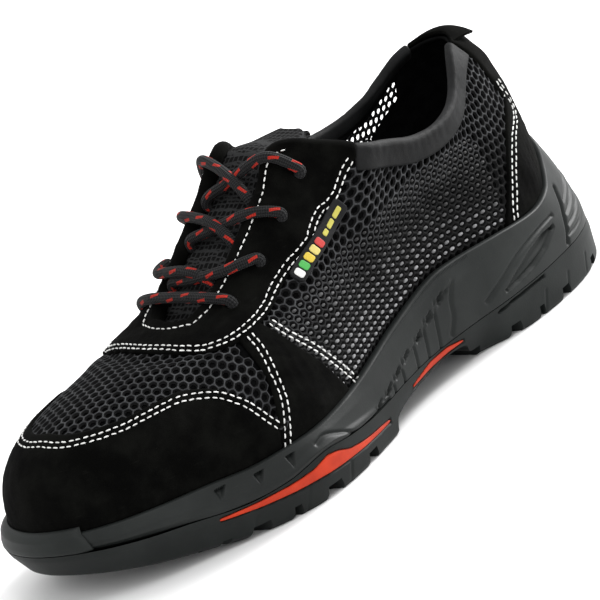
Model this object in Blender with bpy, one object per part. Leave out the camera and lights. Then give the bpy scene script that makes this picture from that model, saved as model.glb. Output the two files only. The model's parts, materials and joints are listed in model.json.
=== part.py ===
# Low-cut safety sneaker, left foot, standing empty on its sole.
# Metres, +Z up, +X to the toe, +Y to the outer (lateral) side.
# The origin is on the floor, under the middle of the heel lug that stands flat.

import math

import bmesh
import bpy
import numpy as np

# Driving sizes of the shoe
SHOE_LENGTH = 0.293
BALL_WIDTH = 0.108
COLLAR_HEIGHT = 0.102
LIP_HEIGHT = 0.028
BED_HEIGHT = 0.024
PARTING_HEIGHT = 0.0165
BED_FLOOR = 0.0035
DIP_INSET = 0.008
ARCH_HEIGHT = 0.0095
TOE_SPRING = 0.0095

# Thicknesses and gaps
CLEARANCE = 0.0003
UPPER_WALL = 0.0018
OVERLAY_THICKNESS = 0.0012
PANEL_GAP = 0.0006
LIP_THICKNESS = 0.0032
INSOLE_THICKNESS = 0.0035
TONGUE_THICKNESS = 0.0028
TAG_THICKNESS = 0.0010
LACE_RADIUS = 0.0021
BUMPER_THICKNESS = 0.0020
INSERT_DEPTH = 0.0022
STEP_DEPTH = 0.0010
LEAF_DEPTH = 0.0016
NOTCH_SIZE = 0.0026

# Tread
GROOVE_DEPTH = 0.0045
RIB_GROOVE_WIDTH = 0.0030
TREAD_CHAMFER = 0.0025

# Sizes of the overlays and small pieces
EYESTAY_WIDTH = 0.026
COLLAR_BAND_WIDTH = 0.008
PULL_TAB_WIDTH = 0.026
PULL_TAB_TOP = 0.1045
PULL_TAB_DROOP = 0.0030
PULL_TAB_X = 0.0240
PULL_TAB_BOW = 0.0012
TAG_WIDTH = 0.0066

BAND_THICKNESS = 0.0006
BUMPER_RISE = 0.0025
TONGUE_DROP = 0.0012
TONGUE_CROWN = 0.0015
TONGUE_FREE = 0.022

# Mesh density
SETTLE_STEPS = 5
SMOOTH_ANGLE = math.radians(38)
END_COLUMNS = 3
SIDE_COLUMNS = 2
SIDE_RIBS = (3, 11)
UPPER_ROWS = 9
LACE_SIDES = 8
LACE_STEPS = 2

# Plan of the sole moulding.
# Columns: station (share of length), lateral half width, medial half width (shares of ball width)
OUTLINE = [
    (0.000, 0.000, 0.000),
    (0.012, 0.135, 0.130),
    (0.040, 0.232, 0.222),
    (0.095, 0.315, 0.300),
    (0.170, 0.362, 0.338),
    (0.250, 0.372, 0.337),
    (0.330, 0.357, 0.312),
    (0.410, 0.366, 0.300),
    (0.490, 0.408, 0.318),
    (0.560, 0.460, 0.362),
    (0.630, 0.508, 0.418),
    (0.690, 0.526, 0.460),
    (0.750, 0.505, 0.474),
    (0.810, 0.455, 0.468),
    (0.870, 0.382, 0.436),
    (0.920, 0.300, 0.384),
    (0.960, 0.205, 0.312),
    (0.988, 0.085, 0.205),
    (1.000, -0.060, 0.060),
]

# Heights of the sole along its length.
# Columns: station (share of length), height (share of the named size)
HEEL_BEVEL = [
    (0.000, 0.250),
    (0.035, 0.000),
    (1.000, 0.000),
]
ARCH_LINE = [
    (0.324, -0.500),
    (0.325, 0.440),
    (0.345, 0.500),
    (0.353, 0.860),
    (0.372, 1.000),
    (0.400, 1.050),
    (0.435, 1.000),
    (0.475, 0.900),
    (0.510, 0.780),
    (0.533, 0.600),
    (0.540, 0.000),
    (0.543, -0.500),
]
TOE_RISE = [
    (0.000, 0.000),
    (0.770, 0.000),
    (0.820, 0.090),
    (0.870, 0.310),
    (0.920, 0.600),
    (0.960, 0.840),
    (1.000, 1.100),
]
PARTING_LINE = [
    (0.000, 0.960),
    (0.120, 0.950),
    (0.340, 0.860),
    (0.450, 0.880),
    (0.560, 0.850),
    (0.640, 0.950),
    (0.690, 1.060),
    (0.760, 0.900),
    (0.800, 0.880),
    (0.900, 1.120),
    (1.000, 1.350),
]
STEP_LINE = [
    (0.000, 1.950),
    (0.140, 1.750),
    (0.250, 1.950),
    (0.345, 1.980),
    (0.400, 1.600),
    (0.450, 1.380),
    (0.500, 1.120),
    (0.560, 0.950),
    (0.640, 1.080),
    (0.690, 1.280),
    (0.760, 1.100),
    (1.000, 1.600),
]
LIP_LINE = [
    (0.000, 1.950),
    (0.030, 1.830),
    (0.070, 1.560),
    (0.110, 1.370),
    (0.160, 1.300),
    (0.250, 1.360),
    (0.350, 1.400),
    (0.440, 1.240),
    (0.520, 1.060),
    (0.600, 0.930),
    (0.700, 0.870),
    (0.780, 0.870),
    (0.850, 0.930),
    (0.920, 0.960),
    (1.000, 0.990),
]
BED_LINE = [
    (0.000, 1.060),
    (0.200, 1.040),
    (0.350, 0.960),
    (0.500, 0.800),
    (0.650, 0.680),
    (0.780, 0.680),
    (0.880, 0.760),
    (1.000, 0.880),
]

# How far the lower part of the midsole stands out below its step line, and how far the
# outsole wraps out at the toe. Columns: station, share of the named size
STEP_STAND = [
    (0.000, 0.000),
    (0.300, 0.000),
    (0.360, -1.000),
    (0.520, -1.000),
    (0.580, 0.600),
    (0.640, 1.000),
    (0.740, 1.000),
    (0.800, 0.000),
    (1.000, 0.000),
]
TOE_WRAP = [
    (0.000, 0.000),
    (0.850, 0.000),
    (0.940, 1.000),
    (1.000, 1.000),
]

# How far each level of the sole's side stands in from its plan.
# Columns: station, underside inset (share of ball width)
UNDERSIDE_INSET = [
    (0.000, 0.000),
    (0.050, 0.012),
    (0.230, 0.010),
    (0.280, 0.030),
    (0.322, 0.066),
    (0.350, 0.062),
    (0.400, 0.052),
    (0.480, 0.044),
    (0.540, 0.020),
    (0.600, 0.018),
    (0.720, 0.020),
    (0.800, 0.046),
    (0.880, 0.070),
    (1.000, 0.080),
]

# Ribs of the upper, from the middle of the heel round the outer side to the toe.
# Columns: name, foot (share of length along the plan), foot inset (share of ball width),
# top x (share of length), top y (share of ball width), top z (share of collar height),
# foot handle out (share of ball width), foot handle up (share of collar height),
# top handle out (share of the way to the foot), top handle down (share of collar height)
RIBS = [
    ("heel", 0.000, 0.130, 0.099, 0.000, 1.005, -0.020, 0.340, 1.150, 0.060),
    ("heel_side", 0.050, 0.105, 0.112, 0.075, 0.998, 0.000, 0.340, 1.000, 0.080),
    ("heel_quarter", 0.130, 0.062, 0.142, 0.141, 0.962, 0.020, 0.330, 0.620, 0.120),
    ("counter", 0.215, 0.050, 0.192, 0.224, 0.858, 0.018, 0.270, 0.520, 0.150),
    ("collar_back", 0.290, 0.054, 0.243, 0.269, 0.823, 0.016, 0.250, 0.550, 0.165),
    ("collar_dip", 0.355, 0.058, 0.300, 0.285, 0.835, 0.018, 0.250, 0.600, 0.185),
    ("collar_front", 0.412, 0.060, 0.352, 0.300, 0.890, 0.020, 0.255, 0.650, 0.210),
    ("eyestay_corner", 0.460, 0.063, 0.404, 0.306, 0.948, 0.022, 0.260, 0.700, 0.230),
    ("throat_top", 0.500, 0.066, 0.475, 0.142, 1.052, 0.025, 0.270, 0.960, 0.250),
    ("eyelet_three", 0.530, 0.068, 0.529, 0.140, 0.936, 0.028, 0.275, 0.950, 0.175),
    ("eyelet_two", 0.560, 0.070, 0.587, 0.138, 0.824, 0.030, 0.280, 0.920, 0.125),
    ("band_back", 0.610, 0.074, 0.648, 0.130, 0.716, 0.030, 0.285, 0.860, 0.055),
    ("band_front", 0.735, 0.078, 0.685, 0.095, 0.664, 0.030, 0.290, 0.800, 0.025),
    ("vamp", 0.815, 0.072, 0.693, 0.062, 0.660, 0.030, 0.300, 0.740, 0.032),
    ("toe_side", 0.890, 0.062, 0.695, 0.038, 0.658, 0.032, 0.315, 0.740, 0.042),
    ("toe_corner", 0.955, 0.050, 0.696, 0.018, 0.657, 0.034, 0.335, 0.765, 0.048),
    ("toe", 1.000, 0.040, 0.696, 0.000, 0.657, 0.030, 0.345, 0.785, 0.050),
]

# Top edge of the suede toe cap. Columns: place in ribs, height (share of collar height)
TOE_CAP_EDGE = [
    (11.750, 0.270),
    (12.000, 0.350),
    (12.300, 0.455),
    (12.800, 0.522),
    (13.700, 0.555),
    (14.700, 0.551),
    (15.500, 0.554),
    (16.000, 0.562),
]

# Top edge of the heel counter. Columns: place in ribs, height (share of collar height)
COUNTER_EDGE = [
    (0.000, 0.800),
    (1.000, 0.770),
    (2.000, 0.660),
    (3.000, 0.390),
]

# Width of the eyestay down from the throat. Columns: place in ribs, share of the eyestay's width
EYESTAY_EDGE = [
    (7.000, 0.080),
    (7.200, 0.340),
    (7.500, 0.800),
    (8.000, 1.070),
    (8.400, 1.120),
    (9.000, 1.000),
    (9.500, 0.875),
    (10.200, 0.805),
    (10.700, 0.820),
    (11.400, 0.880),
    (11.800, 0.920),
    (12.200, 0.900),
    (13.300, 0.780),
    (14.500, 0.710),
    (16.000, 0.692),
]

# Red inserts in the side of the outsole.
# Columns: station (share of length), lower edge, upper edge (shares of parting height)
FOREFOOT_INSERT = [
    (0.552, 0.430, 0.500),
    (0.580, 0.435, 0.540),
    (0.618, 0.460, 0.600),
    (0.650, 0.490, 0.700),
    (0.672, 0.510, 0.860),
    (0.692, 0.530, 0.930),
    (0.718, 0.560, 0.820),
    (0.750, 0.590, 0.790),
    (0.795, 0.660, 0.800),
    (0.850, 0.790, 0.850),
]
ARCH_INSERT = [
    (0.357, 0.640, 0.690),
    (0.390, 0.660, 0.790),
    (0.430, 0.640, 0.780),
    (0.478, 0.580, 0.640),
]

# Leaf-shaped recess in each side of the heel, above the outsole.
# Columns: station (share of length), lower edge, upper edge (shares of parting height)
HEEL_LEAF = [
    (0.139, 1.610, 1.670),
    (0.171, 1.360, 1.670),
    (0.205, 1.180, 1.550),
    (0.239, 1.090, 1.330),
    (0.266, 1.050, 1.110),
]

# Small notches in the side of the midsole.
# Columns: station (share of length), height (share of parting height)
NOTCHES = [
    (0.372, 1.770),
    (0.403, 1.600),
    (0.434, 1.440),
    (0.472, 1.300),
    (0.501, 1.160),
    (0.744, 1.220),
    (0.789, 1.240),
    (0.842, 1.330),
]

# Rear and front edges of the side band. Columns: place up the rib, place in ribs
BAND_REAR = [
    (0.050, 10.450),
    (0.200, 10.850),
    (0.500, 11.250),
    (0.900, 11.400),
]
BAND_FORE = [
    (0.050, 12.050),
    (0.200, 11.920),
    (0.450, 11.780),
    (0.900, 11.740),
]

# Grooves across the tread. Columns: station (share of length), width (share of rib groove width)
GROOVES = [
    (0.089, 1.5),
    (0.180, 1.7),
    (0.237, 0.9),
    (0.287, 1.5),
    (0.637, 2.0),
    (0.724, 2.3),
    (0.782, 0.9),
    (0.826, 1.9),
    (0.864, 0.9),
    (0.893, 1.1),
]
ORIGIN_LUG = 1
GROOVE_SWEEP = 0.16

# Eyelet rows up the throat. Columns: place in ribs, setback from the throat's edge (share of
# the eyestay's width), slip of the lace's far end down the throat (in ribs)
EYELETS = [
    (11.250, 0.380, 0.000),
    (10.200, 0.380, 0.600),
    (9.050, 0.440, 0.900),
    (7.950, 0.480, 1.150),
]

# Middle line of the side tag. Columns: place in ribs, distance down from the throat (share of
# the eyestay's width)
TAG_LINE = [
    (10.050, 0.960),
    (9.400, 1.080),
    (8.800, 1.260),
    (8.250, 1.350),
    (7.750, 1.180),
]

# Half width of the heel strap and reach of the toe bumper, in ribs
STRAP_HALF = 1.45
BUMPER_SPAN = (15.3, 17.6)

COLOURS = {
    "outsole": ((0.022, 0.026, 0.025), 0.62),
    "midsole": ((0.026, 0.030, 0.029), 0.58),
    "bumper": ((0.028, 0.033, 0.031), 0.60),
    "insert": ((0.750, 0.085, 0.025), 0.50),
    "knit": ((0.012, 0.012, 0.013), 0.85),
    "suede": ((0.006, 0.006, 0.006), 0.95),
    "binding": ((0.022, 0.022, 0.023), 0.80),
    "insole": ((0.015, 0.015, 0.016), 0.90),
    "tongue": ((0.010, 0.010, 0.011), 0.85),
    "tag": ((0.050, 0.052, 0.054), 0.60),
    "lace": ((0.014, 0.014, 0.015), 0.75),
}


# Interpolation

def hermite(x, xs, ys, slopes):
    """Cubic Hermite value at x."""
    i = int(np.clip(np.searchsorted(xs, x, side="right") - 1, 0, len(xs) - 2))
    h = xs[i + 1] - xs[i]
    t = (x - xs[i]) / h
    low = (2 * t**3 - 3 * t**2 + 1) * ys[i] + (t**3 - 2 * t**2 + t) * h * slopes[i]
    high = (3 * t**2 - 2 * t**3) * ys[i + 1] + (t**3 - t**2) * h * slopes[i + 1]
    return low + high


def steady_slopes(xs, ys):
    """Slopes of a curve that never overshoots its rows."""
    h = np.diff(xs)
    d = np.diff(ys) / h
    m = np.zeros(len(xs))
    m[0] = d[0]
    m[-1] = d[-1]
    for i in range(1, len(xs) - 1):
        if d[i - 1] * d[i] > 0:
            w1 = 2 * h[i] + h[i - 1]
            w2 = h[i] + 2 * h[i - 1]
            m[i] = (w1 + w2) / (w1 / d[i - 1] + w2 / d[i])
    return m


class Profile:
    """A table of stations and shares, read as a smooth curve times a named size."""

    def __init__(self, rows, size, column=1):
        self.xs = np.array([row[0] for row in rows])
        self.ys = np.array([row[column] for row in rows]) * size
        self.slopes = steady_slopes(self.xs, self.ys)

    def at(self, x):
        x = min(max(x, self.xs[0]), self.xs[-1])
        return hermite(x, self.xs, self.ys, self.slopes)


HEEL_UNDERSIDE = Profile(HEEL_BEVEL, ARCH_HEIGHT)
TOE_UNDERSIDE = Profile(TOE_RISE, TOE_SPRING)
PARTING = Profile(PARTING_LINE, PARTING_HEIGHT)
STEP = Profile(STEP_LINE, PARTING_HEIGHT)
LIP = Profile(LIP_LINE, LIP_HEIGHT)
BED = Profile(BED_LINE, BED_HEIGHT)
FLOOR_INSET = Profile(UNDERSIDE_INSET, BALL_WIDTH)
STAND = Profile(STEP_STAND, STEP_DEPTH)
WRAP = Profile(TOE_WRAP, CLEARANCE + BUMPER_THICKNESS)


def underside(x):
    """Height of the tread's lowest level at a length x from the heel."""
    return HEEL_UNDERSIDE.at(x / SHOE_LENGTH) + TOE_UNDERSIDE.at(x / SHOE_LENGTH)


# Plan of the sole

def plan_loop():
    """Closed plan, from the heel round the outer side to the toe and back."""
    outer = [(s * SHOE_LENGTH, a * BALL_WIDTH) for s, a, b in OUTLINE]
    inner = [(s * SHOE_LENGTH, -b * BALL_WIDTH) for s, a, b in OUTLINE[1:-1]]
    return np.array(outer + inner[::-1])


PLAN_STEPS = 24


def smooth_loop(points):
    """Centripetal curve through a closed list of points."""
    count = len(points)
    out = []
    for i in range(count):
        p0, p1, p2, p3 = (points[(i + k) % count] for k in (-1, 0, 1, 2))
        t1 = math.sqrt(np.linalg.norm(p1 - p0))
        t2 = t1 + math.sqrt(np.linalg.norm(p2 - p1))
        t3 = t2 + math.sqrt(np.linalg.norm(p3 - p2))
        for k in range(PLAN_STEPS):
            t = t1 + (t2 - t1) * k / PLAN_STEPS
            a1 = (t1 - t) / t1 * p0 + t / t1 * p1
            a2 = (t2 - t) / (t2 - t1) * p1 + (t - t1) / (t2 - t1) * p2
            a3 = (t3 - t) / (t3 - t2) * p2 + (t - t2) / (t3 - t2) * p3
            b1 = (t2 - t) / t2 * a1 + t / t2 * a2
            b2 = (t3 - t) / (t3 - t1) * a2 + (t - t1) / (t3 - t1) * a3
            out.append((t2 - t) / (t2 - t1) * b1 + (t - t1) / (t2 - t1) * b2)
    return np.array(out)


LOOP = smooth_loop(plan_loop())
LOOP_CLOSED = np.vstack([LOOP, LOOP[:1]])
ARC = np.concatenate([[0.0], np.cumsum(np.linalg.norm(np.diff(LOOP_CLOSED, axis=0), axis=1))])
PERIMETER = ARC[-1]
TOE_INDEX = (len(OUTLINE) - 1) * PLAN_STEPS
TOE_ARC = ARC[TOE_INDEX]


def plan_point(arc):
    a = arc % PERIMETER
    return np.array([np.interp(a, ARC, LOOP_CLOSED[:, 0]), np.interp(a, ARC, LOOP_CLOSED[:, 1])])


def plan_normal(arc):
    """Outward direction in plan."""
    step = 0.01 * BALL_WIDTH
    d = plan_point(arc + step) - plan_point(arc - step)
    n = np.array([-d[1], d[0]])
    return n / np.linalg.norm(n)


def arc_at(station, side):
    """Distance along the plan of a station on the outer (+1) or inner (-1) side."""
    x = station * SHOE_LENGTH
    if side > 0:
        return float(np.interp(x, LOOP[:TOE_INDEX + 1, 0], ARC[:TOE_INDEX + 1]))
    xs = LOOP_CLOSED[TOE_INDEX:, 0][::-1]
    arcs = ARC[TOE_INDEX:][::-1]
    return float(np.interp(x, xs, arcs))


# The upper's own function

RIB_INDEX = {row[0]: i for i, row in enumerate(RIBS)}
HALF = len(RIBS) - 1
TURN = 2 * HALF


def rib_table():
    """Rows of numbers for every rib round the shoe, with the inner side mirrored."""
    rows = []
    for i in range(TURN):
        side = 1 if i <= HALF else -1
        row = RIBS[i if i <= HALF else TURN - i]
        name, foot, inset, tx, ty, tz, out, up, reach, drop = row
        arc = arc_at(foot, side)
        if i == HALF:
            arc = TOE_ARC
        rows.append([
            arc,
            inset * BALL_WIDTH,
            tx * SHOE_LENGTH,
            side * ty * BALL_WIDTH,
            tz * COLLAR_HEIGHT,
            out * BALL_WIDTH,
            up * COLLAR_HEIGHT,
            reach,
            drop * COLLAR_HEIGHT,
        ])
    return np.array(rows)


RIB_VALUES = rib_table()


def rib_values(u):
    """Values of a rib at any place u round the shoe, counted in ribs."""
    u = u % TURN
    i = int(math.floor(u))
    t = u - i
    rows = []
    for k in (-1, 0, 1, 2):
        j = i + k
        row = RIB_VALUES[j % TURN].copy()
        row[0] += PERIMETER * math.floor(j / TURN)
        rows.append(row)
    a, b, c, d = rows
    return 0.5 * (2 * b + (c - a) * t + (2 * a - 5 * b + 4 * c - d) * t**2 + (3 * b - a - 3 * c + d) * t**3)


def rib_curve(u):
    """The four control points of a rib, from the foot to the top edge."""
    arc, inset, tx, ty, tz, out, up, reach, drop = rib_values(u)
    n = plan_normal(arc)
    edge = plan_point(arc) - n * inset
    foot = np.array([edge[0], edge[1], BED.at(edge[0] / SHOE_LENGTH) + CLEARANCE])
    top = np.array([tx, ty, tz])
    way = np.array([foot[0] - top[0], foot[1] - top[1], 0.0])
    low = foot + np.array([n[0] * out, n[1] * out, up])
    high = top + way * reach - np.array([0.0, 0.0, drop])
    return foot, low, high, top


def upper_point(u, v):
    """Point on the outside of the upper."""
    a, b, c, d = rib_curve(u)
    w = 1 - v
    return w**3 * a + 3 * w * w * v * b + 3 * w * v * v * c + v**3 * d


def upper_normal(u, v):
    e = 0.02
    du = upper_point(u + e, v) - upper_point(u - e, v)
    v0 = max(v - e, 0.0)
    v1 = min(v + e, 1.0)
    dv = upper_point(u, v1) - upper_point(u, v0)
    n = np.cross(dv, du)
    return n / np.linalg.norm(n)


def on_upper(u, v, lift):
    """Point at a distance outside the upper's outer face."""
    return upper_point(u, v) + upper_normal(u, v) * lift


def v_at_height(u, height):
    """Place up a rib where it reaches a height."""
    low = 0.0
    high = 1.0
    for _ in range(24):
        mid = (low + high) / 2
        if upper_point(u, mid)[2] < height:
            low = mid
        else:
            high = mid
    return low


def v_from_top(u, distance):
    """Place on a rib at a distance down from the top edge."""
    steps = 40
    last = upper_point(u, 1.0)
    run = 0.0
    for k in range(steps - 1, -1, -1):
        here = upper_point(u, k / steps)
        piece = np.linalg.norm(here - last)
        if run + piece >= distance:
            return (k + 1 - (distance - run) / piece) / steps
        run += piece
        last = here
    return 0.0


def lip_height(u):
    """Height of the sole's lip beside a rib."""
    x = plan_point(rib_values(u)[0])[0]
    return LIP.at(x / SHOE_LENGTH)


def v_lip(u):
    return v_at_height(u, lip_height(u))


def edge_table(rows, size):
    """A table by place in ribs, read as a function of u, mirrored on the inner side."""
    xs = np.array([row[0] for row in rows])
    ys = np.array([row[1] for row in rows]) * size
    slopes = steady_slopes(xs, ys)

    def value(u):
        u = u % TURN
        folded = min(u, TURN - u)
        folded = min(max(folded, xs[0]), xs[-1])
        return hermite(folded, xs, ys, slopes)

    return value


EYESTAY_SPAN = edge_table(EYESTAY_EDGE, EYESTAY_WIDTH)
TOE_CAP_TOP = edge_table(TOE_CAP_EDGE, COLLAR_HEIGHT)
COUNTER_TOP = edge_table(COUNTER_EDGE, COLLAR_HEIGHT)

# Objects

ORIGIN_X = (GROOVES[ORIGIN_LUG][0] + GROOVES[ORIGIN_LUG + 1][0]) / 2 * SHOE_LENGTH


def clear_scene():
    for item in list(bpy.data.objects):
        bpy.data.objects.remove(item, do_unlink=True)


MATERIALS = {}


def material(key):
    if key not in MATERIALS:
        colour, roughness = COLOURS[key]
        mat = bpy.data.materials.new(key)
        mat.use_nodes = True
        shader = mat.node_tree.nodes["Principled BSDF"]
        shader.inputs["Base Color"].default_value = (*colour, 1.0)
        shader.inputs["Roughness"].default_value = roughness
        shader.inputs["Metallic"].default_value = 0.0
        mat.diffuse_color = (*colour, 1.0)
        MATERIALS[key] = mat
    return MATERIALS[key]


def add_object(name, points, faces, key):
    """Object from points measured from the heel, moved to the shoe's origin."""
    mesh = bpy.data.meshes.new(name)
    verts = [(p[0] - ORIGIN_X, p[1], p[2]) for p in points]
    mesh.from_pydata(verts, [], faces)
    mesh.materials.append(material(key))
    settle_faces(mesh)
    item = bpy.data.objects.new(name, mesh)
    bpy.context.scene.collection.objects.link(item)
    return item


def settle_faces(mesh):
    """Flat triangles that all face out, shaded smooth across the gentle edges."""
    bm = bmesh.new()
    bm.from_mesh(mesh)
    bmesh.ops.triangulate(bm, faces=bm.faces)
    bmesh.ops.recalc_face_normals(bm, faces=bm.faces)
    bm.to_mesh(mesh)
    bm.free()
    mesh.shade_smooth()
    mesh.set_sharp_from_angle(angle=SMOOTH_ANGLE)


def combine(item, other, operation):
    """Exact cut or union, applied at once, with the second object removed."""
    mod = item.modifiers.new("combine", "BOOLEAN")
    mod.operation = operation
    mod.solver = "EXACT"
    mod.object = other
    graph = bpy.context.evaluated_depsgraph_get()
    mesh = bpy.data.meshes.new_from_object(item.evaluated_get(graph))
    item.modifiers.clear()
    settle_faces(mesh)
    item.data = mesh
    bpy.data.objects.remove(other, do_unlink=True)


def cut(item, cutter):
    combine(item, cutter, "DIFFERENCE")


def shell_faces(columns, rows, closed):
    """Faces of a closed shell made of an outer and an inner grid of points."""
    faces = []
    layer = columns * rows
    last = columns if closed else columns - 1
    for i in range(last):
        j = (i + 1) % columns
        for k in range(rows - 1):
            a, b, c, d = i * rows + k, j * rows + k, j * rows + k + 1, i * rows + k + 1
            faces.append((a, b, c, d))
            faces.append((layer + d, layer + c, layer + b, layer + a))
        for k in (0, rows - 1):
            a, b = i * rows + k, j * rows + k
            faces.append((a, layer + a, layer + b, b))
    if not closed:
        for i in (0, columns - 1):
            for k in range(rows - 1):
                a, b = i * rows + k, i * rows + k + 1
                faces.append((a, b, layer + b, layer + a))
    return faces


def settle(u, t, low, high, shift):
    """Place on the upper of a panel's point, where the shift depends on the height reached."""
    w = u
    v = low(u) + (high(u) - low(u)) * t
    for _ in range(SETTLE_STEPS):
        w = shift(u, v)
        v = low(w) + (high(w) - low(w)) * t
    return w, v


def patch(name, us, low, high, rows, lifts, key, shift=None):
    """Panel over the upper between two edges, from the upper's own function.

    A shift slants the panel's ends: it gives the place in ribs for a column and a place
    up the rib.
    """
    inside, outside = lifts
    places = []
    for u in us:
        for k in range(rows):
            t = k / (rows - 1)
            if shift:
                places.append(settle(u, t, low, high, shift))
            else:
                places.append((u, low(u) + (high(u) - low(u)) * t))
    points = [on_upper(w, v, outside) for w, v in places]
    points += [on_upper(w, v, inside) for w, v in places]
    return add_object(name, points, shell_faces(len(us), rows, False), key)


def column_places():
    """Places of the columns all round, closer together at the heel and toe than at the sides."""
    half = []
    for rib in range(HALF):
        beside = SIDE_RIBS[0] <= rib < SIDE_RIBS[1]
        steps = SIDE_COLUMNS if beside else END_COLUMNS
        half.extend(rib + k / steps for k in range(steps))
    return half + [float(HALF)] + [TURN - u for u in half[:0:-1]]


ALL_COLUMNS = column_places()


def columns_between(u0, u1):
    """Places from u0 to u1 that include every column of the upper between them."""
    inner = ALL_COLUMNS + [TURN + u for u in ALL_COLUMNS]
    edge = 0.25 / END_COLUMNS
    return [u0] + [u for u in inner if u0 + edge < u < u1 - edge] + [u1]


# Upper

def level_foot(points, u):
    """Keep the foot of the wall level, so its inner edge stays above the bed."""
    foot = points[-UPPER_ROWS]
    foot[2] = max(foot[2], upper_point(u, 0.0)[2])


def make_upper():
    points = []
    for lift in (0.0, -UPPER_WALL):
        for u in ALL_COLUMNS:
            for k in range(UPPER_ROWS):
                points.append(on_upper(u, k / (UPPER_ROWS - 1), lift))
            level_foot(points, u)
    add_object("upper", points, shell_faces(len(ALL_COLUMNS), UPPER_ROWS, True), "knit")


# Sole

SOLE_COLUMNS = []
MIDSOLE_COLUMNS = []


def side_rings(u):
    """Outer side of the sole beside a rib, from the floor to the lip: plan inset and height."""
    arc = rib_values(u)[0]
    spot = plan_point(arc)
    x = spot[0]
    s = x / SHOE_LENGTH
    n = plan_normal(arc)
    lip = on_upper(u, v_lip(u), CLEARANCE + LIP_THICKNESS)
    lip_inset = float(np.dot(spot - lip[:2], n))
    return spot, n, s, x, lip, lip_inset


def ring_point(spot, n, inset, height):
    p = spot - n * inset
    return np.array([p[0], p[1], height])


def parting_dip(s):
    """Height of the parting inside the sole, kept under the bed."""
    return min(PARTING.at(s), BED.at(s) - BED_FLOOR)


def outsole_column(u):
    spot, n, s, x, lip, lip_inset = side_rings(u)
    floor_inset = FLOOR_INSET.at(s)
    wrap = WRAP.at(s)
    base = underside(x)
    top = PARTING.at(s) - CLEARANCE / 2
    chamfer = TREAD_CHAMFER
    return [
        ring_point(spot, n, floor_inset + chamfer / 3 - wrap, base),
        ring_point(spot, n, floor_inset * 0.75 - wrap, base + chamfer / 2),
        ring_point(spot, n, floor_inset * 0.45 - wrap, base + (top - base) * 0.45),
        ring_point(spot, n, floor_inset * 0.15 - wrap, base + (top - base) * 0.80),
        ring_point(spot, n, chamfer / 5 - wrap, top),
        ring_point(spot, n, DIP_INSET, parting_dip(s) - CLEARANCE / 2),
    ]


def midsole_column(u):
    spot, n, s, x, lip, lip_inset = side_rings(u)
    base = PARTING.at(s) + CLEARANCE / 2
    lip_z = lip[2]
    step = min(max(STEP.at(s), base + TREAD_CHAMFER), lip_z - TREAD_CHAMFER * 1.6)
    share = (step - base) / (lip_z - base)
    body = lip_inset * share**1.5
    stand = STAND.at(s)
    return [
        ring_point(spot, n, DIP_INSET, parting_dip(s) + CLEARANCE / 2),
        ring_point(spot, n, TREAD_CHAMFER / 5, base),
        ring_point(spot, n, body * 0.30 - stand * 0.5, base + (step - base) * 0.45),
        ring_point(spot, n, body - stand * 0.5, step - TREAD_CHAMFER / 4),
        ring_point(spot, n, body + stand * 0.5, step + TREAD_CHAMFER / 4),
        ring_point(spot, n, body + (lip_inset - body) * 0.55, step + (lip_z - step) * 0.60),
        lip,
    ]


def inner_column(u, rows):
    """Inner wall of the cup, just outside the upper, from the lip down to the bed."""
    top = v_lip(u)
    points = []
    for k in range(rows):
        v = top * (1 - k / (rows - 1))
        points.append(on_upper(u, v, CLEARANCE))
    low = points[-1].copy()
    low[2] = BED.at(low[0] / SHOE_LENGTH)
    points[-1] = low
    return points


def loft(name, column_of, key):
    """Closed solid from rings round the shoe, with both ends closed across the shoe."""
    columns = [column_of(u) for u in ALL_COLUMNS]
    rings = len(columns[0])
    count = len(columns)
    points = [p for column in columns for p in column]
    faces = []
    for i in range(count):
        j = (i + 1) % count
        for k in range(rings - 1):
            faces.append((i * rings + k, j * rings + k, j * rings + k + 1, i * rings + k + 1))
    half = count // 2
    for k in (0, rings - 1):
        for i in range(half):
            a = i * rings + k
            b = (i + 1) * rings + k
            c = (count - i - 1) * rings + k
            d = ((count - i) % count) * rings + k
            loop = []
            for q in (a, b, c, d):
                if q not in loop:
                    loop.append(q)
            faces.append(tuple(loop))
    return add_object(name, points, faces, key)


def arch_cutter():
    """Space under the arch, drawn from the side and run across the shoe."""
    points = []
    reach = BALL_WIDTH
    for side in (-1, 1):
        for station, share in ARCH_LINE:
            points.append((station * SHOE_LENGTH, side * reach, share * ARCH_HEIGHT))
    count = len(ARCH_LINE)
    faces = [tuple(range(count)), tuple(range(2 * count - 1, count - 1, -1))]
    for k in range(count):
        j = (k + 1) % count
        faces.append((k, count + k, count + j, j))
    return points, faces


def groove_cutter():
    """Chevron grooves across the tread, each one closed shape, as one cutter."""
    points = []
    faces = []
    reach = BALL_WIDTH * 0.6
    sweep = reach * GROOVE_SWEEP
    for station, share in GROOVES:
        x = station * SHOE_LENGTH
        start = len(points)
        for z, flare in ((-GROOVE_DEPTH, 1.6), (GROOVE_DEPTH, 1.0)):
            half = share * RIB_GROOVE_WIDTH / 2 * flare
            points.extend([
                (x - half, 0.0, z),
                (x - sweep - half, reach, z),
                (x - sweep + half, reach, z),
                (x + half, 0.0, z),
                (x - sweep + half, -reach, z),
                (x - sweep - half, -reach, z),
            ])
        a = start
        faces.extend([(a, a + 1, a + 2, a + 3), (a + 3, a + 4, a + 5, a)])
        faces.extend([(a + 9, a + 8, a + 7, a + 6), (a + 6, a + 11, a + 10, a + 9)])
        for k in range(6):
            faces.append((a + k, a + 6 + k, a + 6 + (k + 1) % 6, a + (k + 1) % 6))
    return points, faces


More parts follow.
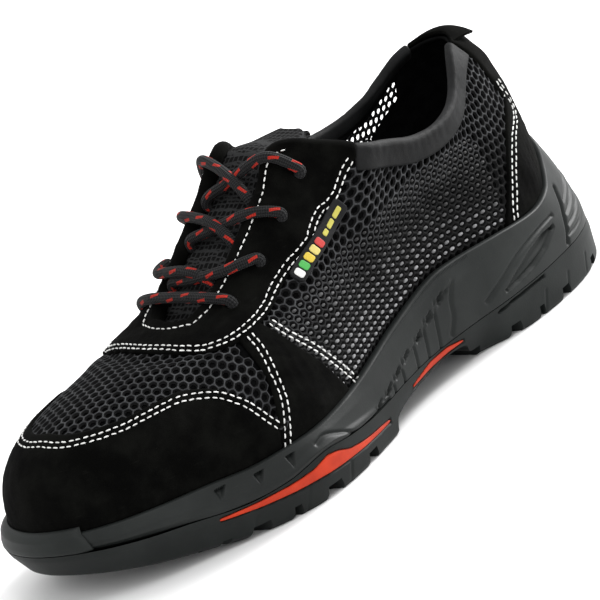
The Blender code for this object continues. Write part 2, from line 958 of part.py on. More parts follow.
def make_sole():
    outsole = loft("outsole", outsole_column, "outsole")
    SOLE_COLUMNS.extend(outsole_column(u) for u in ALL_COLUMNS)
    for maker in (arch_cutter, groove_cutter):
        points, faces = maker()
        cut(outsole, add_object(maker.__name__, points, faces, "outsole"))

    def midsole(u):
        return midsole_column(u) + inner_column(u, 3)

    body = loft("midsole", midsole, "midsole")
    MIDSOLE_COLUMNS.extend(midsole_column(u) for u in ALL_COLUMNS)

    def insole(u):
        edge = on_upper(u, 0.0, -UPPER_WALL - CLEARANCE)
        top = on_upper(u, v_at_height(u, edge[2] + INSOLE_THICKNESS), -UPPER_WALL - CLEARANCE * 2)
        base = BED.at(edge[0] / SHOE_LENGTH) + CLEARANCE * 2
        return [np.array([edge[0], edge[1], base]), np.array([top[0], top[1], base + INSOLE_THICKNESS])]

    loft("insole", insole, "insole")
    make_inserts(outsole)
    make_recesses(body)


# Side inserts

WALL_RINGS = slice(1, 5)


def wall_point(columns, station, side, height, depth):
    """Point on the faceted side of a sole layer at a station and a height, pushed in by a depth."""
    x = station * SHOE_LENGTH
    half = len(columns) // 2
    order = range(half) if side > 0 else range(len(columns) - 1, half - 1, -1)
    xs = []
    ys = []
    for i in order:
        rings = columns[i][WALL_RINGS]
        zs = [p[2] for p in rings]
        xs.append(float(np.interp(height, zs, [p[0] for p in rings])))
        ys.append(float(np.interp(height, zs, [p[1] for p in rings])))
    reach = BALL_WIDTH / 20
    y = float(np.interp(x, xs, ys))
    slope = float(np.interp(x + reach, xs, ys) - np.interp(x - reach, xs, ys)) / (2 * reach)
    way = np.array([slope, -1.0]) * side
    way = way / np.linalg.norm(way)
    return (x + way[0] * depth, y + way[1] * depth, height)


def strip_mesh(columns, table, side, grow, outer, inner):
    """Points and faces of a strip let into the side of a sole layer."""
    points = []
    first = table[0][0]
    last = table[-1][0]
    for station, low, high in table:
        s = station
        if station == first:
            s = station - grow / SHOE_LENGTH
        if station == last:
            s = station + grow / SHOE_LENGTH
        for depth in (outer, inner):
            points.append(wall_point(columns, s, side, low * PARTING_HEIGHT - grow, depth))
            points.append(wall_point(columns, s, side, high * PARTING_HEIGHT + grow, depth))
    faces = []
    count = len(table)
    for i in range(count - 1):
        a = i * 4
        b = a + 4
        faces.append((a, b, b + 1, a + 1))
        faces.append((a + 2, a + 3, b + 3, b + 2))
        faces.append((a, a + 2, b + 2, b))
        faces.append((a + 1, b + 1, b + 3, a + 3))
    e = (count - 1) * 4
    faces.append((0, 1, 3, 2))
    faces.append((e, e + 2, e + 3, e + 1))
    return points, faces


def make_inserts(outsole):
    """Coloured strips set flush in pockets in both sides of the outsole."""
    for label, table in (("forefoot_insert", FOREFOOT_INSERT), ("arch_insert", ARCH_INSERT)):
        for end, side in (("outer", 1), ("inner", -1)):
            hole = strip_mesh(SOLE_COLUMNS, table, side, CLEARANCE, -INSERT_DEPTH, INSERT_DEPTH + CLEARANCE)
            cut(outsole, add_object("pocket", *hole, "insert"))
            body = strip_mesh(SOLE_COLUMNS, table, side, 0.0, 0.0, INSERT_DEPTH)
            add_object(f"{label}_{end}", *body, "insert")


def make_recesses(midsole):
    """Leaf recess at the heel and the row of small notches, on both sides."""
    points = []
    faces = []
    tables = [(HEEL_LEAF, LEAF_DEPTH)]
    half = NOTCH_SIZE / 2 / SHOE_LENGTH
    tall = NOTCH_SIZE / PARTING_HEIGHT
    for station, height in NOTCHES:
        notch = [
            (station - half, height - tall * 0.5, height + tall * 0.5),
            (station + half, height + tall * 0.2, height + tall * 0.5),
        ]
        tables.append((notch, LEAF_DEPTH))
    for table, depth in tables:
        for side in (1, -1):
            more, loops = strip_mesh(MIDSOLE_COLUMNS, table, side, 0.0, -depth * 2, depth)
            start = len(points)
            points.extend(more)
            faces.extend(tuple(start + q for q in loop) for loop in loops)
    cut(midsole, add_object("recesses", points, faces, "midsole"))


# Overlays

LIFT_LOW = CLEARANCE
LIFT_HIGH = CLEARANCE + OVERLAY_THICKNESS
EDGE_STEP = 0.02
CAP_BLEND = 1.0


def above_lip(u):
    return v_at_height(u, lip_height(u) + CLEARANCE + TREAD_CHAMFER / 2)


def eyestay_low(u):
    return v_from_top(u, EYESTAY_SPAN(u))


def below_eyestay(u):
    return v_from_top(u, EYESTAY_SPAN(u) + PANEL_GAP)


def collar_edge(u):
    return 1.0


def counter_top(u):
    return v_at_height(u, COUNTER_TOP(u))


def band_low(u):
    return v_from_top(u, COLLAR_BAND_WIDTH)


REAR_EDGE = Profile(BAND_REAR, 1.0)
FORE_EDGE = Profile(BAND_FORE, 1.0)
CAP_START = FORE_EDGE.at(0.0) + EDGE_STEP


def cap_top(u):
    return v_at_height(u, TOE_CAP_TOP(u))


def cap_shift(u, v):
    """The toe cap's ends run along the side bands."""
    folded = min(u, TURN - u)
    pull = max(0.0, 1.0 - (folded - CAP_START) / CAP_BLEND)
    moved = folded + (FORE_EDGE.at(v) + EDGE_STEP - CAP_START) * pull
    return moved if u <= HALF else TURN - moved


def band_shift(share, v):
    """Place in ribs across the outer side band."""
    return REAR_EDGE.at(v) * (1 - share) + (FORE_EDGE.at(v) - EDGE_STEP) * share


def band_shift_inner(share, v):
    return TURN - band_shift(share, v)


def make_overlays():
    corner = RIB_INDEX["eyestay_corner"]
    counter = RIB_INDEX["counter"]
    suede = (LIFT_LOW, LIFT_HIGH)
    raised = (LIFT_LOW * 2, LIFT_LOW + LIFT_HIGH)
    knit = (LIFT_LOW * 1.5, LIFT_LOW * 1.5 + BAND_THICKNESS)

    us = columns_between(CAP_START, TURN - CAP_START)
    patch("toe_cap", us, above_lip, cap_top, 6, raised, "suede", cap_shift)

    us = columns_between(corner, TURN - corner)
    patch("eyestay", us, eyestay_low, collar_edge, 4, raised, "suede")

    shares = [k / 4 for k in range(5)]
    patch("side_band_outer", shares, above_lip, below_eyestay, 6, suede, "suede", band_shift)
    patch("side_band_inner", shares, above_lip, below_eyestay, 6, suede, "suede", band_shift_inner)

    us = columns_between(TURN - counter, TURN + counter)
    patch("heel_counter", us, above_lip, counter_top, 4, suede, "suede")

    us = columns_between(STRAP_HALF + EDGE_STEP, corner - EDGE_STEP)
    patch("collar_band_outer", us, band_low, collar_edge, 2, knit, "binding")
    us = columns_between(TURN - corner + EDGE_STEP, TURN - STRAP_HALF - EDGE_STEP)
    patch("collar_band_inner", us, band_low, collar_edge, 2, knit, "binding")


# Heel strap with its pull tab

def make_pull_tab():
    """Strap up the back of the heel, bent back at the collar as a short straight tab."""
    us = columns_between(TURN - STRAP_HALF, TURN + STRAP_HALF)
    rows = 5
    points = []
    for lift in (LIFT_HIGH, LIFT_LOW):
        for u in us:
            v0 = v_at_height(u, COUNTER_TOP(u) + PANEL_GAP)
            for k in range(rows):
                points.append(on_upper(u, v0 + (1 - v0) * k / (rows - 1), lift))
            share = (u - TURN) / STRAP_HALF
            droop = share**2 * PULL_TAB_DROOP
            root = upper_point(u, 1.0) + np.array([0.0, 0.0, PULL_TAB_BOW])
            tip = np.array([PULL_TAB_X, share * PULL_TAB_WIDTH / 2, PULL_TAB_TOP - droop])
            way = tip - root
            under = np.cross(way, np.array([0.0, 1.0, 0.0]))
            under = under / np.linalg.norm(under)
            points.append((root + tip) / 2 + under * lift)
            points.append(tip + under * lift)
    add_object("heel_pull_tab", points, shell_faces(len(us), rows + 2, False), "suede")


# Tongue

def tongue_sections():
    """Cross sections from under the vamp up the throat to the free top end."""
    under = -(UPPER_WALL + TONGUE_DROP)
    lap = EYESTAY_WIDTH * 0.32
    sections = []
    toe = float(HALF)
    start = RIB_INDEX["band_front"]
    fan = [start, start + 1.0, start + 2.2, toe]
    fan = fan + [TURN - u for u in fan[-2::-1]]
    sections.append([on_upper(u, v_from_top(u, lap), under - TONGUE_DROP) for u in fan])
    for back in (0.4, 1.0, 1.5, 2.0, 2.5, 3.0, 3.5, 4.0):
        u = start - back
        rise = TONGUE_CROWN * min(1.0, max(0.0, back - 0.4))
        left = [on_upper(u, v_from_top(u, lap), under), on_upper(u, 1.0, under)]
        right = [on_upper(TURN - u, 1.0, under), on_upper(TURN - u, v_from_top(TURN - u, lap), under)]
        middle = []
        for share in (0.25, 0.50, 0.75):
            crown = 4 * share * (1 - share) * rise
            middle.append(left[1] * (1 - share) + right[0] * share + np.array([0, 0, crown]))
        sections.append(left + middle + right)
    last = sections[-1]
    centre = last[3]
    for step, narrow in ((0.5, 0.90), (0.9, 0.80), (1.0, 0.66)):
        moved = []
        for p in last:
            q = centre + (p - centre) * narrow
            moved.append(q + np.array([-TONGUE_FREE, 0.0, -TONGUE_FREE * 0.10]) * step)
        sections.append(moved)
    return sections


def make_tongue():
    sections = tongue_sections()
    drop = np.array([0.0, 0.0, -TONGUE_THICKNESS])
    points = [p for section in sections for p in section]
    points += [p + drop for section in sections for p in section]
    add_object("tongue", points, shell_faces(len(sections), len(sections[0]), False), "tongue")


# Side tag

def make_tag():
    """Short woven tag on the outer quarter, behind the eyestay."""
    middle = [(u, v_from_top(u, share * EYESTAY_WIDTH)) for u, share in TAG_LINE]
    spots = [upper_point(u, v) for u, v in middle]
    along = (spots[-1] - spots[0]) / np.linalg.norm(spots[-1] - spots[0])
    lift_low = LIFT_LOW + CLEARANCE
    points = []
    for lift in (lift_low + TAG_THICKNESS, lift_low):
        for spot, (u, v) in zip(spots, middle):
            out = upper_normal(u, v)
            side = np.cross(out, along)
            side = side / np.linalg.norm(side)
            base = spot + out * lift
            points.append(base + side * TAG_WIDTH / 2)
            points.append(base - side * TAG_WIDTH / 2)
    add_object("side_tag", points, shell_faces(len(middle), 2, False), "tag")


# Toe bumper

def make_bumper():
    """Rubber guard round the toe, outside the sole's wall and a little above its lip."""
    us = columns_between(BUMPER_SPAN[0], BUMPER_SPAN[1])
    layers = []
    for lift in (CLEARANCE + BUMPER_THICKNESS, CLEARANCE):
        layer = []
        for u in us:
            wall = midsole_column(u)[1:]
            n = plan_normal(rib_values(u)[0])
            out = np.array([n[0], n[1], 0.0]) * lift
            for p in wall:
                layer.append(p + out)
            v = v_at_height(u, wall[-1][2] + BUMPER_RISE)
            layer.append(on_upper(u, v, LIFT_LOW + LIFT_HIGH + lift))
        layers.append(layer)
    points = layers[0] + layers[1]
    add_object("toe_bumper", points, shell_faces(len(us), 7, False), "bumper")


# Laces

def tube(name, route, key):
    """Round cord along a smooth curve through its route, with closed ends."""
    path = smooth_route(route, LACE_STEPS)
    points = []
    up = np.array([0.0, 0.0, 1.0])
    last = len(path) - 1
    for i, p in enumerate(path):
        way = path[min(i + 1, last)] - path[max(i - 1, 0)]
        way = way / np.linalg.norm(way)
        side = np.cross(up, way)
        side = side / np.linalg.norm(side)
        over = np.cross(way, side)
        for k in range(LACE_SIDES):
            a = 2 * math.pi * k / LACE_SIDES
            points.append(p + (side * math.cos(a) + over * math.sin(a)) * LACE_RADIUS)
    faces = [tuple(range(LACE_SIDES)), tuple(range(last * LACE_SIDES, (last + 1) * LACE_SIDES))]
    for i in range(last):
        for k in range(LACE_SIDES):
            j = (k + 1) % LACE_SIDES
            a, b = i * LACE_SIDES, (i + 1) * LACE_SIDES
            faces.append((a + k, a + j, b + j, b + k))
    return add_object(name, points, faces, key)


def smooth_route(route, steps):
    """Even curve through the route's points."""
    pts = [np.array(p) for p in route]
    pts = [2 * pts[0] - pts[1]] + pts + [2 * pts[-1] - pts[-2]]
    out = []
    for i in range(1, len(pts) - 2):
        a, b, c, d = pts[i - 1:i + 3]
        for k in range(steps):
            t = k / steps
            out.append(0.5 * (2 * b + (c - a) * t + (2 * a - 5 * b + 4 * c - d) * t**2
                              + (3 * b - a - 3 * c + d) * t**3))
    out.append(pts[-2])
    return out


def place(row):
    """Place in ribs of an eyelet row, the setback of its eyelets and the lace's slip."""
    u, share, slip = EYELETS[row]
    return u, share * EYESTAY_WIDTH, slip


LACE_LIFT = LIFT_HIGH + CLEARANCE * 3 + LACE_RADIUS
LACE_LEAN = 0.40
LACE_TUCK = 0.0045


def over_edge(u, lift):
    """Point above the throat's edge."""
    return on_upper(u, 1.0, lift)


def lace_bar(row):
    """Straight bar between the two lowest eyelets."""
    u, setback, slip = place(row)
    route = []
    for side in (u, TURN - u):
        route.append(on_upper(side, v_from_top(side, setback), LACE_LIFT))
    left, right = route
    near = over_edge(u, LACE_LIFT)
    far = over_edge(TURN - u, LACE_LIFT)
    return [left, near, (near + far) / 2, far, right]


def lace_run(row, side):
    """One run from its eyelet over the throat to the opposite edge, a row lower."""
    u, setback, slip = place(row)
    here = u if side > 0 else TURN - u
    start = on_upper(here, v_from_top(here, setback), LACE_LIFT)
    near = u + LACE_LEAN
    edge = over_edge(near if side > 0 else TURN - near, LACE_LIFT)
    low = u + slip
    far = upper_point(TURN - low if side > 0 else low, 1.0)
    cross = u + (LACE_LEAN + slip) / 2
    middle = (over_edge(cross, LACE_LIFT) + over_edge(TURN - cross, LACE_LIFT)) / 2
    inward = np.array([0.0, -1.0 if far[1] > 0 else 1.0, 0.0])
    end = far + inward * LACE_TUCK + np.array([0.0, 0.0, LACE_RADIUS * 0.9])
    return [start, edge, middle, end]


def make_laces():
    tube("lace_bar", lace_bar(0), "lace")
    for row in (1, 2, 3):
        outer = tube(f"lace_cross_{row}", lace_run(row, 1), "lace")
        inner = tube("lace_half", lace_run(row, -1), "lace")
        combine(outer, inner, "UNION")


clear_scene()
make_upper()
make_sole()
make_overlays()
make_pull_tab()
make_tongue()
make_tag()
make_bumper()
make_laces()
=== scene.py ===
# %% [markdown]
# # A low safety sneaker with a knit upper
#
# The CAD part gives the shoe's frame: a hollow upper, a lugged sole, overlays and laces.
# This lesson dresses it. Every soft piece is laid on the same surface that the CAD upper
# was made from, so the panels, the knit and the stitches all share one form.

# %%
import json
import math

import bmesh
import bpy
import numpy as np
from mathutils import Matrix, Vector
from mathutils.bvhtree import BVHTree
from mathutils.kdtree import KDTree

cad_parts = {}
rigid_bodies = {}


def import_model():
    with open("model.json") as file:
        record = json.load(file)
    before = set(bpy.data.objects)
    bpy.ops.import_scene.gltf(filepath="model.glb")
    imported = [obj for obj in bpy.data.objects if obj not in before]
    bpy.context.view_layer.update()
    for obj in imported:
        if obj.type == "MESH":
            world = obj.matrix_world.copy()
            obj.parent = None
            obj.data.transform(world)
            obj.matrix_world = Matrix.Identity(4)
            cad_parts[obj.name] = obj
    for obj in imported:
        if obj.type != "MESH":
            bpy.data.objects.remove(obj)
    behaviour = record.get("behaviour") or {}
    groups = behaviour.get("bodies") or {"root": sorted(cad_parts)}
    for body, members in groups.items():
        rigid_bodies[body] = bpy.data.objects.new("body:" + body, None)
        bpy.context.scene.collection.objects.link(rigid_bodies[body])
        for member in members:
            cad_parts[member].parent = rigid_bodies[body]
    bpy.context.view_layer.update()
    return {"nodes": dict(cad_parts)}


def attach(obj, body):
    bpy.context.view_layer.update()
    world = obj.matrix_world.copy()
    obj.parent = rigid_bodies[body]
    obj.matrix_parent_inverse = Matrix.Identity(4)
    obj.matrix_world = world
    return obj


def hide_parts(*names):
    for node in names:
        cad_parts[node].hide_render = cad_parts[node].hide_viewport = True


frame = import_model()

print("CAD nodes:", len(frame["nodes"]))

# %% [markdown]
# ## The shoe's own sizes
#
# These are the driving sizes and tables of the part, in metres and in shares of a named
# size. Lengths run from the heel (0) to the toe; the last step moves each point to the
# shoe's origin.

# %%
SHOE_LENGTH = 0.293
BALL_WIDTH = 0.108
COLLAR_HEIGHT = 0.102
LIP_HEIGHT = 0.028
BED_HEIGHT = 0.024
PARTING_HEIGHT = 0.0165
BED_FLOOR = 0.0035
DIP_INSET = 0.008
ARCH_HEIGHT = 0.0095
TOE_SPRING = 0.0095
CLEARANCE = 0.0003
UPPER_WALL = 0.0018
OVERLAY_THICKNESS = 0.0012
LIP_THICKNESS = 0.0032
INSOLE_THICKNESS = 0.0035
TONGUE_THICKNESS = 0.0028
TAG_THICKNESS = 0.0010
LACE_RADIUS = 0.0021
BUMPER_THICKNESS = 0.0020
STEP_DEPTH = 0.0010
GROOVE_DEPTH = 0.0045
RIB_GROOVE_WIDTH = 0.0030
TREAD_CHAMFER = 0.0025
EYESTAY_WIDTH = 0.026
COLLAR_BAND_WIDTH = 0.008
PULL_TAB_WIDTH = 0.026
PULL_TAB_TOP = 0.1045
PULL_TAB_DROOP = 0.0030
PULL_TAB_X = 0.0240
PULL_TAB_BOW = 0.0012
TAG_WIDTH = 0.0066
BUMPER_RISE = 0.0025
TONGUE_DROP = 0.0012
TONGUE_CROWN = 0.0015
TONGUE_FREE = 0.022
STRAP_HALF = 1.45
BUMPER_SPAN = (15.3, 17.6)
MM = 0.001

# Plan of the sole moulding.
# Columns: station (share of length), lateral half width, medial half width (shares of ball width)
OUTLINE = [
    (0.0, 0.0, 0.0), (0.012, 0.135, 0.13), (0.04, 0.232, 0.222), (0.095, 0.315, 0.3), (0.17, 0.362, 0.338),
    (0.25, 0.372, 0.337), (0.33, 0.357, 0.312), (0.41, 0.366, 0.3), (0.49, 0.408, 0.318),
    (0.56, 0.46, 0.362), (0.63, 0.508, 0.418), (0.69, 0.526, 0.46), (0.75, 0.505, 0.474),
    (0.81, 0.455, 0.468), (0.87, 0.382, 0.436), (0.92, 0.3, 0.384), (0.96, 0.205, 0.312),
    (0.988, 0.085, 0.205), (1.0, -0.06, 0.06),
]

# Heights of the sole along its length.
# Columns: station (share of length), height (share of the named size)
HEEL_BEVEL = [
    (0.0, 0.25), (0.035, 0.0), (1.0, 0.0),
]
ARCH_LINE = [
    (0.324, -0.5), (0.325, 0.44), (0.345, 0.5), (0.353, 0.86), (0.372, 1.0), (0.4, 1.05), (0.435, 1.0),
    (0.475, 0.9), (0.51, 0.78), (0.533, 0.6), (0.54, 0.0), (0.543, -0.5),
]
TOE_RISE = [
    (0.0, 0.0), (0.77, 0.0), (0.82, 0.09), (0.87, 0.31), (0.92, 0.6), (0.96, 0.84), (1.0, 1.1),
]
PARTING_LINE = [
    (0.0, 0.96), (0.12, 0.95), (0.34, 0.86), (0.45, 0.88), (0.56, 0.85), (0.64, 0.95), (0.69, 1.06),
    (0.76, 0.9), (0.8, 0.88), (0.9, 1.12), (1.0, 1.35),
]
STEP_LINE = [
    (0.0, 1.95), (0.14, 1.75), (0.25, 1.95), (0.345, 1.98), (0.4, 1.6), (0.45, 1.38), (0.5, 1.12),
    (0.56, 0.95), (0.64, 1.08), (0.69, 1.28), (0.76, 1.1), (1.0, 1.6),
]
LIP_LINE = [
    (0.0, 1.95), (0.03, 1.83), (0.07, 1.56), (0.11, 1.37), (0.16, 1.3), (0.25, 1.36), (0.35, 1.4),
    (0.44, 1.24), (0.52, 1.06), (0.6, 0.93), (0.7, 0.87), (0.78, 0.87), (0.85, 0.93), (0.92, 0.96),
    (1.0, 0.99),
]
BED_LINE = [
    (0.0, 1.06), (0.2, 1.04), (0.35, 0.96), (0.5, 0.8), (0.65, 0.68), (0.78, 0.68), (0.88, 0.76),
    (1.0, 0.88),
]

# How far the lower part of the midsole stands out below its step line, and how far the
# outsole wraps out at the toe. Columns: station, share of the named size
STEP_STAND = [
    (0.0, 0.0), (0.3, 0.0), (0.36, -1.0), (0.52, -1.0), (0.58, 0.6), (0.64, 1.0), (0.74, 1.0), (0.8, 0.0),
    (1.0, 0.0),
]
TOE_WRAP = [
    (0.0, 0.0), (0.85, 0.0), (0.94, 1.0), (1.0, 1.0),
]

# How far each level of the sole's side stands in from its plan.
# Columns: station, underside inset (share of ball width)
UNDERSIDE_INSET = [
    (0.0, 0.0), (0.05, 0.012), (0.23, 0.01), (0.28, 0.03), (0.322, 0.066), (0.35, 0.062), (0.4, 0.052),
    (0.48, 0.044), (0.54, 0.02), (0.6, 0.018), (0.72, 0.02), (0.8, 0.046), (0.88, 0.07), (1.0, 0.08),
]

# Ribs of the upper, from the middle of the heel round the outer side to the toe.
# Columns: name, foot (share of length along the plan), foot inset (share of ball width),
# top x (share of length), top y (share of ball width), top z (share of collar height),
# foot handle out (share of ball width), foot handle up (share of collar height),
# top handle out (share of the way to the foot), top handle down (share of collar height)
RIBS = [
    ("heel", 0.000, 0.130, 0.099, 0.000, 1.005, -0.020, 0.340, 1.150, 0.060),
    ("heel_side", 0.050, 0.105, 0.112, 0.075, 0.998, 0.000, 0.340, 1.000, 0.080),
    ("heel_quarter", 0.130, 0.062, 0.142, 0.141, 0.962, 0.020, 0.330, 0.620, 0.120),
    ("counter", 0.215, 0.050, 0.192, 0.224, 0.858, 0.018, 0.270, 0.520, 0.150),
    ("collar_back", 0.290, 0.054, 0.243, 0.269, 0.823, 0.016, 0.250, 0.550, 0.165),
    ("collar_dip", 0.355, 0.058, 0.300, 0.285, 0.835, 0.018, 0.250, 0.600, 0.185),
    ("collar_front", 0.412, 0.060, 0.352, 0.300, 0.890, 0.020, 0.255, 0.650, 0.210),
    ("eyestay_corner", 0.460, 0.063, 0.404, 0.306, 0.948, 0.022, 0.260, 0.700, 0.230),
    ("throat_top", 0.500, 0.066, 0.475, 0.142, 1.052, 0.025, 0.270, 0.960, 0.250),
    ("eyelet_three", 0.530, 0.068, 0.529, 0.140, 0.936, 0.028, 0.275, 0.950, 0.175),
    ("eyelet_two", 0.560, 0.070, 0.587, 0.138, 0.824, 0.030, 0.280, 0.920, 0.125),
    ("band_back", 0.610, 0.074, 0.648, 0.130, 0.716, 0.030, 0.285, 0.860, 0.055),
    ("band_front", 0.735, 0.078, 0.685, 0.095, 0.664, 0.030, 0.290, 0.800, 0.025),
    ("vamp", 0.815, 0.072, 0.693, 0.062, 0.660, 0.030, 0.300, 0.740, 0.032),
    ("toe_side", 0.890, 0.062, 0.695, 0.038, 0.658, 0.032, 0.315, 0.740, 0.042),
    ("toe_corner", 0.955, 0.050, 0.696, 0.018, 0.657, 0.034, 0.335, 0.765, 0.048),
    ("toe", 1.000, 0.040, 0.696, 0.000, 0.657, 0.030, 0.345, 0.785, 0.050),
]

# Top edge of the suede toe cap. Columns: place in ribs, height (share of collar height)
TOE_CAP_EDGE = [
    (11.75, 0.27), (12.0, 0.35), (12.3, 0.455), (12.8, 0.522), (13.7, 0.555), (14.7, 0.551), (15.5, 0.554),
    (16.0, 0.562),
]

# Top edge of the heel counter. Columns: place in ribs, height (share of collar height)
COUNTER_EDGE = [
    (0.0, 0.8), (1.0, 0.77), (2.0, 0.66), (3.0, 0.39),
]

# Width of the eyestay down from the throat. Columns: place in ribs, share of the eyestay's width
EYESTAY_EDGE = [
    (7.0, 0.08), (7.2, 0.34), (7.5, 0.8), (8.0, 1.07), (8.4, 1.12), (9.0, 1.0), (9.5, 0.875), (10.2, 0.805),
    (10.7, 0.82), (11.4, 0.88), (11.8, 0.92), (12.2, 0.9), (13.3, 0.78), (14.5, 0.71), (16.0, 0.692),
]

# Red inserts in the side of the outsole.
# Columns: station (share of length), lower edge, upper edge (shares of parting height)
FOREFOOT_INSERT = [
    (0.552, 0.43, 0.5), (0.58, 0.435, 0.54), (0.618, 0.46, 0.6), (0.65, 0.49, 0.7), (0.672, 0.51, 0.86),
    (0.692, 0.53, 0.93), (0.718, 0.56, 0.82), (0.75, 0.59, 0.79), (0.795, 0.66, 0.8), (0.85, 0.79, 0.85),
]
ARCH_INSERT = [
    (0.357, 0.64, 0.69), (0.39, 0.66, 0.79), (0.43, 0.64, 0.78), (0.478, 0.58, 0.64),
]

# Leaf-shaped recess in each side of the heel, above the outsole.
# Columns: station (share of length), lower edge, upper edge (shares of parting height)
HEEL_LEAF = [
    (0.139, 1.61, 1.67), (0.171, 1.36, 1.67), (0.205, 1.18, 1.55), (0.239, 1.09, 1.33), (0.266, 1.05, 1.11),
]

# Rear and front edges of the side band. Columns: place up the rib, place in ribs
BAND_REAR = [
    (0.05, 10.45), (0.2, 10.85), (0.5, 11.25), (0.9, 11.4),
]
BAND_FORE = [
    (0.05, 12.05), (0.2, 11.92), (0.45, 11.78), (0.9, 11.74),
]

# Grooves across the tread. Columns: station (share of length), width (share of rib groove width)
GROOVES = [
    (0.089, 1.5), (0.18, 1.7), (0.237, 0.9), (0.287, 1.5), (0.637, 2.0), (0.724, 2.3), (0.782, 0.9),
    (0.826, 1.9), (0.864, 0.9), (0.893, 1.1),
]
ORIGIN_LUG = 1
GROOVE_SWEEP = 0.16

# Eyelet rows up the throat. Columns: place in ribs, setback from the throat's edge (share of
# the eyestay's width), slip of the lace's far end down the throat (in ribs)
EYELETS = [
    (11.25, 0.38, 0.0), (10.2, 0.38, 0.6), (9.05, 0.44, 0.9), (7.95, 0.48, 1.15),
]

print("ribs:", len(RIBS))

# %% [markdown]
# ## The upper's function
#
# A place on the upper has two numbers: u counts ribs round the shoe (0 at the heel, 16 at
# the toe, on round the inner side to 32) and v runs from the foot (0) to the top edge (1).

# %%
def unit(ways):
    """Ways at length 1."""
    return ways / np.linalg.norm(ways, axis=-1, keepdims=True)


def run_along(points):
    """Distance of each point along its line."""
    return np.concatenate([[0.0], np.cumsum(np.linalg.norm(np.diff(points, axis=0), axis=1))])


def columns_at(at, run, rows):
    """Rows of numbers read between their places in run."""
    return np.stack([np.interp(at, run, column) for column in rows.T], axis=1)


def bend_through(a, b, c, d, t):
    """Even curve from b (t = 0) to c (t = 1), led by the rows beside them."""
    return 0.5 * (2 * b + (c - a) * t + (2 * a - 5 * b + 4 * c - d) * t**2 + (3 * b - a - 3 * c + d) * t**3)


def rounded(gap, radius, least=0.0):
    """Quarter round: from least at an edge to 1 where the gap to it is a radius."""
    return np.sqrt(np.clip(1 - (1 - np.clip(gap / radius, 0, 1))**2, least, 1))


def hermite(x, xs, ys, slopes):
    """Cubic Hermite value at x."""
    i = int(np.clip(np.searchsorted(xs, x, side="right") - 1, 0, len(xs) - 2))
    h = xs[i + 1] - xs[i]
    t = (x - xs[i]) / h
    low = (2 * t**3 - 3 * t**2 + 1) * ys[i] + (t**3 - 2 * t**2 + t) * h * slopes[i]
    high = (3 * t**2 - 2 * t**3) * ys[i + 1] + (t**3 - t**2) * h * slopes[i + 1]
    return low + high


def steady_slopes(xs, ys):
    """Slopes of a curve that never overshoots its rows."""
    h = np.diff(xs)
    d = np.diff(ys) / h
    m = np.zeros(len(xs))
    m[0] = d[0]
    m[-1] = d[-1]
    for i in range(1, len(xs) - 1):
        if d[i - 1] * d[i] > 0:
            w1 = 2 * h[i] + h[i - 1]
            w2 = h[i] + 2 * h[i - 1]
            m[i] = (w1 + w2) / (w1 / d[i - 1] + w2 / d[i])
    return m


class Profile:
    """A table of stations and shares, read as a smooth curve times a named size."""

    def __init__(self, rows, size, column=1):
        self.xs = np.array([row[0] for row in rows])
        self.ys = np.array([row[column] for row in rows]) * size
        self.slopes = steady_slopes(self.xs, self.ys)

    def at(self, x):
        x = min(max(x, self.xs[0]), self.xs[-1])
        return hermite(x, self.xs, self.ys, self.slopes)


HEEL_UNDERSIDE = Profile(HEEL_BEVEL, ARCH_HEIGHT)
TOE_UNDERSIDE = Profile(TOE_RISE, TOE_SPRING)
PARTING = Profile(PARTING_LINE, PARTING_HEIGHT)
STEP = Profile(STEP_LINE, PARTING_HEIGHT)
LIP = Profile(LIP_LINE, LIP_HEIGHT)
BED = Profile(BED_LINE, BED_HEIGHT)
FLOOR_INSET = Profile(UNDERSIDE_INSET, BALL_WIDTH)
STAND = Profile(STEP_STAND, STEP_DEPTH)
WRAP = Profile(TOE_WRAP, CLEARANCE + BUMPER_THICKNESS)


def underside(x):
    """Height of the tread's lowest level at a length x from the heel."""
    return HEEL_UNDERSIDE.at(x / SHOE_LENGTH) + TOE_UNDERSIDE.at(x / SHOE_LENGTH)


# Plan of the sole

def plan_loop():
    """Closed plan, from the heel round the outer side to the toe and back."""
    outer = [(s * SHOE_LENGTH, a * BALL_WIDTH) for s, a, b in OUTLINE]
    inner = [(s * SHOE_LENGTH, -b * BALL_WIDTH) for s, a, b in OUTLINE[1:-1]]
    return np.array(outer + inner[::-1])


PLAN_STEPS = 24


def smooth_loop(points):
    """Centripetal curve through a closed list of points."""
    count = len(points)
    out = []
    for i in range(count):
        p0, p1, p2, p3 = (points[(i + k) % count] for k in (-1, 0, 1, 2))
        t1 = math.sqrt(np.linalg.norm(p1 - p0))
        t2 = t1 + math.sqrt(np.linalg.norm(p2 - p1))
        t3 = t2 + math.sqrt(np.linalg.norm(p3 - p2))
        for k in range(PLAN_STEPS):
            t = t1 + (t2 - t1) * k / PLAN_STEPS
            a1 = (t1 - t) / t1 * p0 + t / t1 * p1
            a2 = (t2 - t) / (t2 - t1) * p1 + (t - t1) / (t2 - t1) * p2
            a3 = (t3 - t) / (t3 - t2) * p2 + (t - t2) / (t3 - t2) * p3
            b1 = (t2 - t) / t2 * a1 + t / t2 * a2
            b2 = (t3 - t) / (t3 - t1) * a2 + (t - t1) / (t3 - t1) * a3
            out.append((t2 - t) / (t2 - t1) * b1 + (t - t1) / (t2 - t1) * b2)
    return np.array(out)


LOOP = smooth_loop(plan_loop())
LOOP_CLOSED = np.vstack([LOOP, LOOP[:1]])
ARC = run_along(LOOP_CLOSED)
PERIMETER = ARC[-1]
TOE_INDEX = (len(OUTLINE) - 1) * PLAN_STEPS
TOE_ARC = ARC[TOE_INDEX]


def plan_point(arc):
    a = arc % PERIMETER
    return np.array([np.interp(a, ARC, LOOP_CLOSED[:, 0]), np.interp(a, ARC, LOOP_CLOSED[:, 1])])


